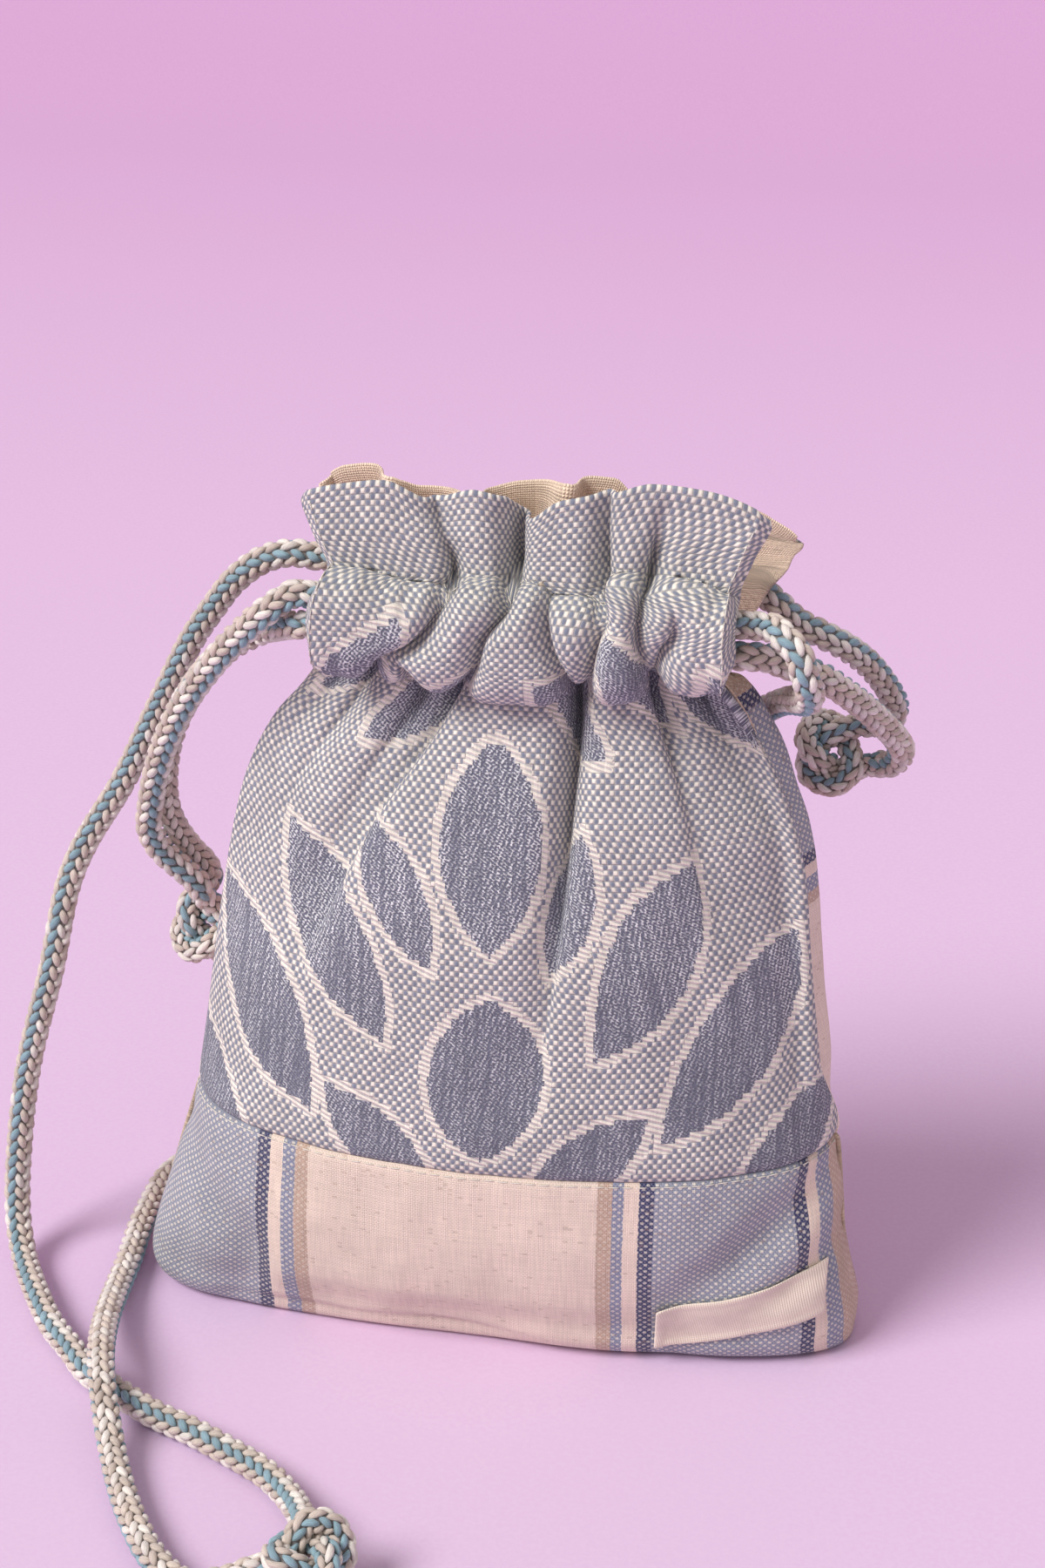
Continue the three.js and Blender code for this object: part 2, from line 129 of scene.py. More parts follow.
STRAP_RIGHT_ROUTE = (
    (INSIDE, -CORD_Y, UPPER_RUN), (RIGHT + 0.004, -CORD_Y, UPPER_RUN), (0.0519, -0.013, 0.1732),
    (0.0549, -0.0168, 0.1726), (0.058, -0.0192, 0.1702), (0.0596, -0.0196, 0.1656), (0.0607, -0.017, 0.1614),
    (0.0604, -0.0126, 0.1578), (0.0588, -0.006, 0.1548), (0.0558, 0.0014, 0.1518), (0.0523, 0.0082, 0.1476),
    (0.048, 0.0146, 0.1424), (0.0415, 0.0206, 0.138), (0.0335, 0.0256, 0.1315), (0.0235, 0.0298, 0.123),
    (0.0115, 0.0332, 0.1126), (-0.002, 0.0356, 0.1), (-0.015, 0.037, 0.087), (-0.028, 0.0378, 0.073),
    (-0.04, 0.0382, 0.058), (-0.051, 0.0388, 0.043), (-0.062, 0.0396, 0.0285), (-0.072, 0.0404, 0.016),
    (-0.08, 0.04, 0.0078), (-0.086, 0.0365, 0.0039), (-0.0896, 0.0295, FLOOR), (-0.0904, 0.0186, FLOOR),
    (-0.0902, 0.005, FLOOR), (-0.0891, -0.0081, FLOOR), (-0.0882, -0.0216, FLOOR + 0.0008),
    (-0.086, -0.0384, 0.0072), (-0.0825, -0.0543, 0.0102), (-0.0793, -0.0648, 0.01), (-0.0759, -0.0736, 0.0075),
    (-0.0726, -0.081, 0.0044), (-0.0675, -0.0921, FLOOR), (-0.0618, -0.1026, FLOOR), (-0.0558, -0.1114, FLOOR),
    (-0.048, -0.118, FLOOR), (-0.0395, -0.1188, FLOOR + 0.002), (-0.033, -0.1162, FLOOR + 0.004),
)
RIGHT_TAB_FRONT_ROUTE = (
    (RIGHT, -CORD_Y, LOWER_RUN), (RIGHT + 0.002, -CORD_Y, LOWER_RUN), (0.0514, -0.009, 0.165),
    (0.0546, -0.006, 0.1628), (0.0585, -0.003, 0.1606), (0.0626, 0, 0.158), (0.0668, 0.004, 0.1538),
    (0.0711, 0.01, 0.1483), (0.0755, 0.018, 0.1412), (0.0789, 0.025, 0.1346), (0.0799, 0.03, 0.1297),
    (0.078, 0.0342, 0.1251), (0.0749, 0.0367, 0.1237),
)
RIGHT_TAB_BACK_ROUTE = (
    (RIGHT, CORD_Y, UPPER_RUN), (RIGHT + 0.002, CORD_Y, UPPER_RUN), (0.0514, 0.012, 0.1694),
    (0.0559, 0.014, 0.1648), (0.0615, 0.016, 0.1614), (0.0666, 0.019, 0.1578), (0.0714, 0.024, 0.1524),
    (0.0752, 0.029, 0.1461), (0.0776, 0.034, 0.1398), (0.0774, 0.0384, 0.1346), (0.0756, 0.0408, 0.1322),
    (0.0729, 0.0414, 0.1311),
)
LEFT_TAB_FRONT_ROUTE = (
    (LEFT, -CORD_Y, UPPER_RUN), (LEFT - 0.002, -CORD_Y, UPPER_RUN), (-0.0532, -0.0126, 0.1684),
    (-0.0579, -0.0112, 0.1636), (-0.0619, -0.0096, 0.159), (-0.0693, -0.006, 0.1492), (-0.0751, -0.003, 0.1395),
    (-0.0801, 0.0005, 0.128), (-0.0834, 0.004, 0.1163), (-0.0849, 0.007, 0.1078), (-0.0835, 0.01, 0.1012),
    (-0.0795, 0.0125, 0.0955), (-0.0764, 0.015, 0.0908), (-0.0756, 0.0176, 0.0863),
)
LEFT_TAB_BACK_ROUTE = (
    (-DEEP_INSIDE, -CORD_Y, LOWER_RUN), (LEFT, -CORD_Y, LOWER_RUN), (-0.0476, -0.0096, 0.165),
    (-0.0516, -0.0052, 0.1626), (-0.0571, 0, 0.1592), (-0.066, 0.004, 0.1525), (-0.0737, 0.006, 0.1426),
    (-0.0792, 0.008, 0.1311), (-0.0817, 0.01, 0.1205), (-0.0823, 0.0125, 0.1109), (-0.0812, 0.015, 0.1045),
    (-0.0788, 0.0196, 0.0971), (-0.0764, 0.0228, 0.092), (-0.0758, 0.025, 0.0873),
)
STRAP_KNOT_AT = (-0.024, -0.1135, 0.00975)
RIGHT_TAB_KNOT_AT = (0.065, 0.04, 0.1246)
LEFT_TAB_KNOT_AT = (-0.0755, 0.0215, 0.077)

# Creases of the gathered cloth: height, place across, depth and width, in mm, from the ruffle down
FRONT_CREASES = (
    ((196, -18, 2.5, 4), (188, -16, 2.5, 3.5), (180, -14, 5, 2.6), (174, -15.6, 5.5, 2.3), (167, -20.6, 5.5, 2.4),
     (162, -29, 5, 2.8), (157, -32.1, 5, 2.8), (150, -35, 4, 3.4), (138, -43, 2.6, 4.6), (122, -52, 1.2, 6),
     (104, -60, 0, 8)),
    ((164, -24, 0, 2), (160.8, -22.2, 4.4, 2), (154.4, -21.5, 5.6, 2.2), (148, -24, 3.8, 2.8), (136, -31, 2, 4.6),
     (116, -41, 0.8, 7), (98, -48, 0, 8)),
    ((200, 0.2, 6, 2.4), (191.6, 0, 8.5, 2.3), (184, 0.1, 9.5, 2.2), (179.5, 0, 8.5, 2), (174.5, -1.2, 6, 2),
     (168.9, -5.4, 5, 2.2), (162.3, -7.2, 4.8, 2.4), (156.2, -10.9, 5.2, 2.6), (144, -17.5, 4.2, 3.4),
     (126, -29, 2.6, 5), (104, -40, 1.2, 7), (84, -48, 0, 9)),
    ((177, 6, 0, 2), (171.8, 7.2, 4.5, 2), (166.4, 8.9, 5.5, 2), (162.4, 10.7, 5.5, 2.1), (157.4, 12.8, 7.5, 2.2),
     (145.4, 14, 7.5, 2.4), (131.6, 13.6, 6.4, 2.8), (117.5, 13.1, 4.4, 3.4), (98, 11.6, 2.4, 5), (78, 9, 1, 7),
     (58, 6, 0, 9)),
    ((201, 18, 1.8, 3), (192.4, 17.8, 3.4, 2.6), (182, 18.4, 4.5, 2.2), (174.6, 19.6, 4, 2), (169.4, 17.6, 5, 2),
     (158.5, 15.9, 5, 2), (150, 15.2, 2, 2), (143, 14.6, 0, 2)),
    ((196, 30, 0, 3), (190, 28, 1.4, 3), (184.3, 26.7, 3.8, 2.4), (173, 25.1, 5, 2.1), (165.8, 26.1, 5.5, 2.1),
     (157.3, 27.7, 5.4, 2.4), (147, 31, 3.8, 3), (134, 36, 2, 4.6), (114, 43, 0.9, 7), (96, 48, 0, 8)),
    ((178, 33.4, 0, 2), (173, 32.7, 3.5, 2), (169.4, 30.8, 4.5, 2), (162.3, 29.5, 4, 2), (156, 29.6, 0, 2)),
    ((163, 40, 0, 2.6), (157, 38.6, 3.8, 2.4), (151, 41, 3, 3.2), (140, 47, 1.8, 4.6), (122, 54, 0, 7)),
    ((161, -40, 0, 2.6), (156, -39, 3.4, 2.6), (149, -43, 2.8, 3.4), (136, -52, 1.6, 4.6), (118, -58, 0, 7)),
)
# Which wall of each crease is the steep one: -1 the left, 1 the right
FRONT_LEANS = (-1, -1, 1, 1, 1, -1, -1, 1, -1)
BACK_LEANS = (-1, 1, 1, -1, 1, -1, -1, 1)
BACK_CREASES = (
    ((199, -30, 2, 3.6), (188, -29, 3, 3), (179.5, -28, 5, 2.4), (168, -26, 5.2, 2.2), (156, -28, 5.4, 2.3),
     (142, -33, 2.4, 4), (118, -44, 0, 7)),
    ((176, -37, 0, 2), (168, -36.5, 4, 2.2), (158, -38, 4.2, 2.4), (146, -43, 1.8, 4), (126, -54, 0, 7)),
    ((199, -12, 3, 3), (188, -12.5, 4, 2.6), (179.5, -13, 6, 2.2), (167, -15, 5.4, 2.2), (155, -14, 6.2, 2.4),
     (138, -19, 3, 4), (108, -29, 0, 8)),
    ((177, -4, 0, 2), (170, -4.5, 5, 2), (160, -3, 5, 2.2), (150, -5, 2.4, 3), (132, -9, 0, 5)),
    ((199, 8, 3, 3), (188, 7, 5, 2.6), (179.5, 6, 6.5, 2.2), (168, 5.4, 5.4, 2.1), (155, 7.6, 6.4, 2.4),
     (140, 8.6, 4.2, 3.4), (120, 9.6, 1.6, 6), (96, 10, 0, 8)),
    ((178, 17, 0, 2), (172, 16.6, 4.6, 2), (160, 18, 5, 2.2), (149, 20, 2, 3.4), (130, 25, 0, 6)),
    ((199, 26, 2, 3), (188, 26.4, 3.4, 2.8), (179.5, 27, 5.4, 2.3), (166, 28.5, 5.2, 2.2), (155, 29, 5.2, 2.4),
     (140, 35, 2.2, 4), (116, 44, 0, 7)),
    ((173, 36, 0, 2), (166, 37, 4, 2.2), (156, 39, 3.4, 2.6), (144, 45, 1.4, 4.4), (124, 55, 0, 7)),
)
# Height of the ruffle's top edge above TOP, at each place across, in mm
FRONT_TOP_EDGE = (
    (-47, -4.4), (-44, -1), (-35, 1.2), (-28, 2.2), (-18, -1.4), (-9.5, 1.2), (-3.5, -0.4), (0.4, -5), (2.4, -4),
    (8, 0), (18, 2.2), (27, 5), (38, 4.2), (47, 1.4), (50.5, -1.6), (54, -5),
)
BACK_TOP_EDGE = (
    (-50, -9), (-45, -6), (-40, -3), (-33, -2), (-28, -4.6), (-24, -6), (-10, -5.6), (-3, -3.8), (4, -2.6), (12, -1.8),
    (17, -2), (21, -5), (27, -7), (42, -5.2), (46, -8.2), (49, -11), (52, -13.6),
)
# Dents in the slack of the striped panel: place across, height, depth, width, length and slope
LOW_DENTS = (
    (57, 33, 3.6, 4.6, 19, 1.15), (66, 22, 1.8, 3.5, 12, 1.3), (-66, 30, 2, 5, 17, -0.8), (-12, 0, 4.5, 18, 9, 0),
    (-46, 0, 3.6, 18, 9, 0), (-58, 14, 1.8, 5, 15, 0.3), (-74, 20, 1.2, 4, 12, 0), (40, 8, 1.2, 7, 16, 0.2),
)
# The casing's two seams across the front: place across, and how far the lower and the upper one stray upwards
FRONT_CASING = (
    (-46, 10, -1.8), (-42, 9.8, -1.2), (-38.5, 8.6, -0.8), (-35, 7, -0.6), (-30, 4.8, -0.9), (-23, 4.2, -2.7),
    (-19, 3.9, -2.6), (-12, 3.6, -1), (0, 3.4, 0),
    (8, 3.8, -3.4), (16, 4.4, -3.2), (22, 4.8, 2.3), (27, 5.6, 2.5), (37, 8.2, 1.2), (43, 10, -1), (46, 10.2, -1.2),
)
BACK_CASING = ((-46, 7, 0), (-36, 3, 0.6), (-20, 0, 0.5), (0, -0.6, -0.8), (18, 0.4, 0.8), (34, 3, -0.4), (46, 8, 0))
# Foot, tip and width of the petals of one woven fan, in mm from its foot on the flat cloth; the fan is mirrored
FAN = (
    ((0, 4), (0, 42), 25),
    ((0, 52), (0, 98), 22),
    ((13, 47), (28, 79), 13),
    ((23, 29), (51, 73), 18),
    ((39, 9), (72, 54), 20),
    ((10, -7), (36, 16), 14),
    ((54, -12), (86, 20), 16),
)
UPPER_FAN = (((0, 4), (0, 40), 22), ((15, 10), (36, 46), 16), ((36, 2), (62, 32), 17))
UPPER_FAN_PLACE = (70, 92)  # its foot from the lower fan's, half a repeat across

# Edges of the warp stripes, in mm across the flat cloth from its middle, and the yarn up to each edge
STRIPES = (
    (-55.6, "chambray"), (-53, "navy"), (-49.6, "wide_stripe"), (-46, "grey"), (-42.8, "tan"),
    (21.8, "wide_stripe"), (25.2, "tan"), (28, "grey"), (31.2, "wide_stripe"), (34.6, "navy"),
    (68.6, "chambray"), (71.4, "navy"), (75, "wide_stripe"), (79.5, "grey"), (95, "tan"),
)
# The same cloth across the back, in mm up from the patch seam
BANDS = (
    (-2, "tan"), (58, "wide_stripe"), (61, "tan"), (64.3, "grey"), (67.5, "wide_stripe"), (70, "navy"),
    (104.5, "chambray"), (108, "navy"), (116, "tan"), (119.5, "wide_stripe"), (170, "chambray"),
)
DOTTED = {"chambray": 0.88, "navy": 0.66, "grey": 0.75, "tan": 0.42, "wide_stripe": 0.0}  # how white its dots are

# The braid's stitches in mm, and the number that marks each yarn on the mesh; the gap mark is the core between the
# stitches, painted dark as shade
STITCH, STITCH_WIDTH, STITCH_HEIGHT = 4.5, 2.12, 1.48
STITCH_SLOPE = math.radians(39)
YARNS = {"gap": 0.1, "taupe": 0.35, "white": 0.6, "teal": 0.85}
YARN_STEP = 0.25
COLUMN_YARNS = ("teal", "white", "taupe", "white", "taupe", "teal", "taupe", "white")
KNOT_RADIUS, KNOT_LOBE, KNOT_DEPTH = 5.6, 2.4, 2.9

# The backdrop, the camera and the light, in metres
FLOOR_SIZE, WALL_HEIGHT, COVE = 6, 4, 1.2
EYE, LOOK_AT = (0.07984, -0.56812, 0.38393), (0, 0, 0.1285)
ROLL = math.radians(1.2)
LENS, SENSOR_WIDTH = 67.18, 36
SUN_WAY = (0.62, 0.5, -0.78)
SUN_COLOUR, SKY_COLOUR = (1.0, 0.985, 0.965), (1.0, 0.955, 0.93, 1.0)


def linear(hex_colour):
    """A colour written as #RRGGBB in sRGB, as Blender's linear red, green and blue."""
    parts = [int(hex_colour[i : i + 2], 16) / 255 for i in (1, 3, 5)]
    return tuple(p / 12.92 if p <= 0.04045 else ((p + 0.055) / 1.055) ** 2.4 for p in parts)


def swatch(name, description, hex_colour):
    """A colour in the panel."""
    return bpy.props.FloatVectorProperty(
        name=name, description=description, subtype="COLOR", size=3, min=0, max=1, default=linear(hex_colour)
    )


class BagClothSettings(bpy.types.PropertyGroup):
    """Sizes and colours of the cloth."""

    cell: bpy.props.FloatProperty(
        name="Basket cell", description="Width of one cell of the jacquard's basket weave, in mm", default=1.04, min=0.5
    )
    fan_across: bpy.props.FloatProperty(
        name="Fan across", description="The woven fan's middle, across the front from its centre, in mm", default=-3.0
    )
    cream: swatch("Cream floats", "The cream threads of the jacquard", "#F4ECE0")
    slate: swatch("Slate ground", "The slate blue threads between the cream ones", "#82889A")
    petal: swatch("Petal", "The dark threads inside the woven petals", "#6B6D7F")
    petal_fleck: swatch("Petal fleck", "The pale flecks inside the woven petals", "#E4E5E9")
    wide_stripe: swatch("Cream stripe", "The wide cream band of the striped cloth", "#F7E2D1")
    chambray: swatch("Chambray stripe", "The blue ends of the striped cloth", "#9297AB")
    navy: swatch("Navy stripe", "The narrow navy stripes", "#2A2F62")
    grey: swatch("Grey stripe", "The narrow blue-grey stripes", "#8A90AB")
    tan: swatch("Tan stripe", "The narrow tan stripes", "#CDAE98")
    linen: swatch("Linen", "The linen behind, below the seam", "#CDB9A0")
    lining: swatch("Lining", "The lining", "#FFE6CE")
    tape: swatch("Label tape", "The blank label", "#F1E1D2")
    thread: swatch("Thread", "The sewing thread", "#F4EDE2")


class BagCordSettings(bpy.types.PropertyGroup):
    """Sizes and colours of the braided cord."""

    diameter: bpy.props.FloatProperty(
        name="Diameter", description="Across the braid", default=CORD, min=0.002, subtype="DISTANCE", unit="LENGTH"
    )
    pitch: bpy.props.FloatProperty(
        name="Stitch pitch", description="Along the cord, from one stitch of a column to the next", default=0.0033,
        min=0.001, subtype="DISTANCE", unit="LENGTH",
    )
    columns: bpy.props.IntProperty(name="Columns", description="Columns of stitches round the cord", default=8, min=6)
    teal: swatch("Teal yarn", "The teal columns", "#90AEBA")
    white: swatch("White yarn", "The white flecks", "#EDE5DE")
    taupe: swatch("Taupe yarn", "The taupe columns", "#D6C7BC")
    # Painted shade: the gap colour is the dark between the stitches, put on the core rather than a yarn of its own.
    gap: swatch("Gaps", "The shaded core between the stitches", "#85807F")


class BagStageSettings(bpy.types.PropertyGroup):
    """Floor, backdrop and light."""

    floor: swatch("Floor", "Colour of the floor near the bag", "#DABDDD")
    # Painted shade: the paper turns to this darker colour far behind the bag, where less light reaches it.
    backdrop: swatch("Backdrop", "Colour of the paper where it rises far behind the bag", "#C596C2")
    sky: bpy.props.FloatProperty(name="Sky light", description="Strength of the even light", default=0.53, min=0)
    key: bpy.props.FloatProperty(name="Key light", description="Strength of the main light", default=2.75, min=0)


def smooth(x, low, high):
    """0 at low and 1 at high, with a gentle start and end. low may be the greater one."""
    t = np.clip((x - low) / (high - low), 0, 1)
    return t * t * (3 - 2 * t)


def mix(a, b, share):
    """From a to b by a share."""
    return a + (b - a) * share


def unit(vectors):
    """The vectors at a length of 1."""
    return vectors / np.maximum(np.linalg.norm(vectors, axis=-1, keepdims=True), 1e-9)


def through(rows, column, at):
    """A smooth line through the rows' values of a column that never overshoots one."""
    place, value = np.array(sorted((row[0], row[column]) for row in rows), float).T
    step = np.diff(place)
    rise = np.diff(value) / step
    slope = np.zeros(len(place))
    same = rise[:-1] * rise[1:] > 0
    both = np.where(same, rise[:-1] + rise[1:], 1)
    slope[1:-1] = np.where(same, 2 * rise[:-1] * rise[1:] / both, 0)
    i = np.clip(np.searchsorted(place, at, side="right") - 1, 0, len(step) - 1)
    t = np.clip((at - place[i]) / step[i], 0, 1)
    bend = slope[i] * t * (1 - t) ** 2 + slope[i + 1] * t * t * (t - 1)
    return value[i] + (value[i + 1] - value[i]) * t * t * (3 - 2 * t) + step[i] * bend


def seam_heights(front, x):
    """Heights of the casing's lower and upper seams."""
    casing = FRONT_CASING if front else BACK_CASING
    return CASING_START + through(casing, 1, x), CASING_TOP + through(casing, 2, x)


def over_cords(front, x, z):
    """0 at both of the casing's seams and 1 where the cords lie."""
    low, high = seam_heights(front, x)
    return 1 - (np.clip((z - low) / (high - low), 0, 1) * 2 - 1) ** 4


def even_skin(front, u, v):
    """The outer face before it is gathered, in mm. u runs -1 to 1 from side seam to side seam; v runs 0 to 1 across
    the flat underside, 1 to 2 round the bottom edge, and past that v - 2 is a height."""
    across = mix(np.sin(u * math.pi / 2), u, SIDE_EDGE)
    bulge = np.cos(u * math.pi / 2)
    turn = np.clip(v - 1, 0, 1) * math.pi / 2
    z = np.where(v > 2, v - 2, BOTTOM_ROUND * (1 - np.cos(turn)))
    wall = np.maximum(z, BOTTOM_ROUND)
    half = mix(through(STATIONS, 1, wall), through(STATIONS, 2, wall), smooth(u, -0.3, 0.3))
    x = mix(UNDERSIDE_WIDTH / 2, half, np.sin(turn))
    deep = through(STATIONS, 3 if front else 4, wall) + CASING_SWELL * over_cords(front, across * x, wall)
    opened = smooth(wall, SLIT_START, SLIT_START + 7)
    bulge = bulge ** (mix(0.38, 1, smooth(wall, 0, 100)) if front else mix(0.6, 1, smooth(wall, 5, 50)))
    y = mix(UNDERSIDE_DEPTH / 2, deep, np.sin(turn))
    reach = np.clip(v, 0, 1)
    depth = SEAM_HALF_GAP + (y - SEAM_HALF_GAP) * mix(bulge, 1, opened) * reach
    return np.stack([across * x * mix(BOTTOM_SEAM_SHARE, 1, reach), -depth if front else depth, z], -1)


def normals(points, front):
    """Unit normals of a grid of points, out of the bag."""
    return unit(np.cross(np.gradient(points, axis=1), np.gradient(points, axis=0)) * (1 if front else -1))


def creases(x, z, folds, leans):
    """How far the gathers draw the cloth in, and how far its lobes are pushed over them."""
    total = np.zeros_like(x)
    squeeze = np.zeros_like(x)
    for fold, lean in zip(folds, leans):
        at, depth, width = (through(fold, column, z) for column in (1, 2, 3))
        depth = depth * mix(mix(1.9, 1.35, smooth(z, 95, 150)), 1.7, smooth(z, CASING_TOP, CASING_TOP + 6))
        off = (x - at) / width
        steep = smooth(off * lean, -0.6, 0.6)
        off = off * mix(0.72, 1.5, steep)
        total += depth * np.exp(-(np.abs(off) ** 1.5))
        pull = mix(0.34, 0.62, steep) * width * np.tanh(depth / 3)
        squeeze -= pull * off * np.exp(-(off**2) / 2.6)
    return total, squeeze


def dents(x, z):
    """How far the slack of the striped panel dips."""
    total = np.zeros_like(x)
    for at, height, depth, width, length, slope in LOW_DENTS:
        long = math.hypot(1, slope)
        off = ((x - at) - slope * (z - height)) / long
        along = (slope * (x - at) + (z - height)) / long
        total += depth * np.exp(-((off / width) ** 2) - (along / length) ** 2)
    return total


def ripple(points, size, seed):
    """Smooth noise from -1 to 1 at each point of a grid, with features of that size in mm."""
    values = [noise.noise((x + seed, y, z)) for x, y, z in (points.reshape(-1, 3) / size).tolist()]
    return np.array(values).reshape(points.shape[:2])


def softened(field, times=1):
    """A grid of values, each blended with its neighbours."""
    for _ in range(times):
        wide = np.pad(field, 1, mode="edge")
        field = (wide[1:-1, :-2] + wide[1:-1, 2:] + wide[:-2, 1:-1] + wide[2:, 1:-1] + 4 * field) / 8
    return field


def casing_room(z, clearance):
    """How far a wall of the casing keeps from the cords' middle plane: round them, and closing past them."""
    reach = CORD / 2 / MM + clearance
    middle, half = (UPPER_RUN + LOWER_RUN) / 2 / MM, (UPPER_RUN - LOWER_RUN) / 2 / MM
    off = np.maximum(np.abs(z - middle) - half, 0)
    return np.where(off < reach, np.sqrt(np.maximum(reach**2 - off**2, 0)), (reach - off) * 4.5)


def seam_forward(u, z):
    """How far the right side seam is drawn towards the front: 1 at the seam, from the belly up to the slit."""
    return smooth(u, 0.8, 1) * smooth(z, 52, 72) * smooth(z, SLIT_START + 6, SLIT_START)


def skin(front, u, v):
    """The gathered outer face of the cloth, in mm, and the directions in which its thickness goes."""
    even = even_skin(front, u, v)
    out = normals(even, front)
    x, z = even[..., 0], even[..., 2]
    gathered = smooth(z, CASING_START - 45, CASING_START)
    lobe = gathered * (LOBE + CASING_LOBE * over_cords(front, x, z))
    drawn, squeeze = creases(x, z, *((FRONT_CREASES, FRONT_LEANS) if front else (BACK_CREASES, BACK_LEANS)))
    slack = dents(x, z) * smooth(v, 1, 1.7) if front else np.zeros_like(x)
    low, high = seam_heights(front, x)
    pucker = np.exp(-(((z - low) / 6) ** 2)) + np.exp(-(((z - high) / 5) ** 2))
    wrinkle = 0.6 * ripple(even * (1, 1, 0.45), 13, 3.1) + 0.25 * ripple(even * (1, 1, 0.6), 5.5, 7.7)
    wrinkle = wrinkle + 1.1 * pucker * ripple(even * (1, 0.5, 0.2), 3, 5.3)
    side = smooth(np.abs(u), 1, 0.9)
    if not front:
        side = side * (1 - smooth(u, 0.66, 0.8) * smooth(z, 174, 182))
    ease = smooth(v, 1, 14) * side
    groove = 0.9 * np.exp(-np.abs(z - PATCH_SEAM) / 0.9) * (v > 2)
    move = softened((lobe - drawn) * side - slack + wrinkle * ease) - groove
    points = even + out * move[..., None]
    points[..., 0] += squeeze * side
    share = np.clip((z - CASING_TOP) / (TOP - CASING_TOP), 0, 1) ** (1.5 if front else 1)
    points[..., 2] += through(FRONT_TOP_EDGE if front else BACK_TOP_EDGE, 1, points[..., 0]) * share
    reach = seam_forward(1, z)
    points[..., 1] -= SEAM_FORWARD * seam_forward(u, z)
    if front:
        points[..., 0] -= SEAM_SLACK * smooth(u, 0.7, 1) * reach
    else:
        points[..., 0] += SEAM_SLACK * (smooth(u, 0.55, 0.9) - 2 * smooth(u, 0.9, 1)) * reach
        flap = mix(FLAP_LOW, FLAP_HIGH, smooth(z, 184, TOP)) * smooth(points[..., 2], 158, 182)
        points[..., 0] += flap * smooth(u, 0.72, 1)
        points[..., 1] += FLAP_BACK * smooth(u, 0.66, 0.86) * smooth(z, 179, TOP)
    sign = -1 if front else 1
    deep = points[..., 1] * sign
    clear = np.maximum(CORD_Y / MM + casing_room(points[..., 2], CLOTH + CLOTH_ROOM), CLOTH_DEPTH)
    points[..., 1] = mix(deep, np.maximum(deep, clear), smooth(z, SLIT_START, SLIT_START + 5)) * sign
    points[..., 2] = np.maximum(points[..., 2], 0)
    return points, unit(mix(out, normals(points, front), 0.6))


def flat_places(points, v, start):
    """The place of each grid point on the flat cloth, in mm: across from the middle, and up from row `start`."""
    step = softened(np.linalg.norm(np.diff(points, axis=1), axis=-1), 6)
    run = np.concatenate([np.zeros((len(points), 1)), np.cumsum(step, axis=1)], axis=1)
    middle = run.shape[1] // 2
    across = run - run[:, middle : middle + 1]
    rises = np.median(np.linalg.norm(np.diff(points, axis=0), axis=-1), axis=1)
    up = np.concatenate([[0], np.cumsum(rises)])
    up = up - np.interp(start, v[:, 0], up)
    return np.stack([across, np.broadcast_to(up[:, None], across.shape)], -1)


def mesh_piece(name, points, faces, material, flat=None):
    """A smooth-shaded mesh object from points in metres and faces, with the flat places in mm as its UV map."""
    mesh = bpy.data.meshes.new(name)
    mesh.from_pydata(points.tolist(), [], faces)
    if flat is not None:
        corners = np.zeros(len(mesh.loops), np.int32)
        mesh.loops.foreach_get("vertex_index", corners)
        mesh.uv_layers.new(name="flat").uv.foreach_set("vector", flat[corners].astype(np.float32).ravel())
    mesh.polygons.foreach_set("use_smooth", np.ones(len(mesh.polygons), bool))
    mesh.materials.append(material)
    mesh.update()
    piece = bpy.data.objects.new(name, mesh)
    bpy.context.scene.collection.objects.link(piece)
    return piece


def cloth_piece(name, outer, inner, flat, material, front=True):
    """A closed sheet of cloth between two grids of points in mm, with soft rounded edges."""
    rows, columns = outer.shape[:2]
    count = rows * columns
    middle = ((outer + inner) / 2).reshape(-1, 3)
    thickness = np.linalg.norm(outer - inner, axis=-1).reshape(-1, 1)
    index = np.arange(count).reshape(rows, columns)
    ring = np.concatenate([index[0, :-1], index[:-1, -1], index[-1, :0:-1], index[:0:-1, 0]])
    beside = np.concatenate([index[1, :-1], index[:-1, -2], index[-2, :0:-1], index[:0:-1, 1]])
    lip = middle[ring] + unit(middle[ring] - middle[beside]) * thickness[ring] * 0.4
    face = np.stack([index[:-1, :-1], index[:-1, 1:], index[1:, 1:], index[1:, :-1]], -1).reshape(-1, 4)
    rim = 2 * count + np.arange(len(ring))
    after = np.roll(np.arange(len(ring)), -1)
    faces = np.concatenate([
        face,
        face[:, ::-1] + count,
        np.stack([ring[after], ring, rim, rim[after]], -1),
        np.stack([rim[after], rim, ring + count, ring[after] + count], -1),
    ])
    if not front:
        faces = faces[:, ::-1]
    points = np.concatenate([outer.reshape(-1, 3), inner.reshape(-1, 3), lip]) * MM
    places = flat.reshape(-1, 2)
    return mesh_piece(name, points, faces.tolist(), material, np.concatenate([places, places, places[ring]]))


def skin_grid(columns, low, high, step):
    """u and v of a panel's grid between two heights; a low of 0 starts at the seam under the bag."""
    wall = max(low, BOTTOM_ROUND)
    rows = 2 + np.linspace(wall, high, round((high - wall) / step) + 1)
    if low < BOTTOM_ROUND:
        rows = np.concatenate([np.linspace(0, 1, 8, endpoint=False), np.linspace(1, 2, 10, endpoint=False), rows])
    return np.meshgrid(np.linspace(-1, 1, columns), rows)


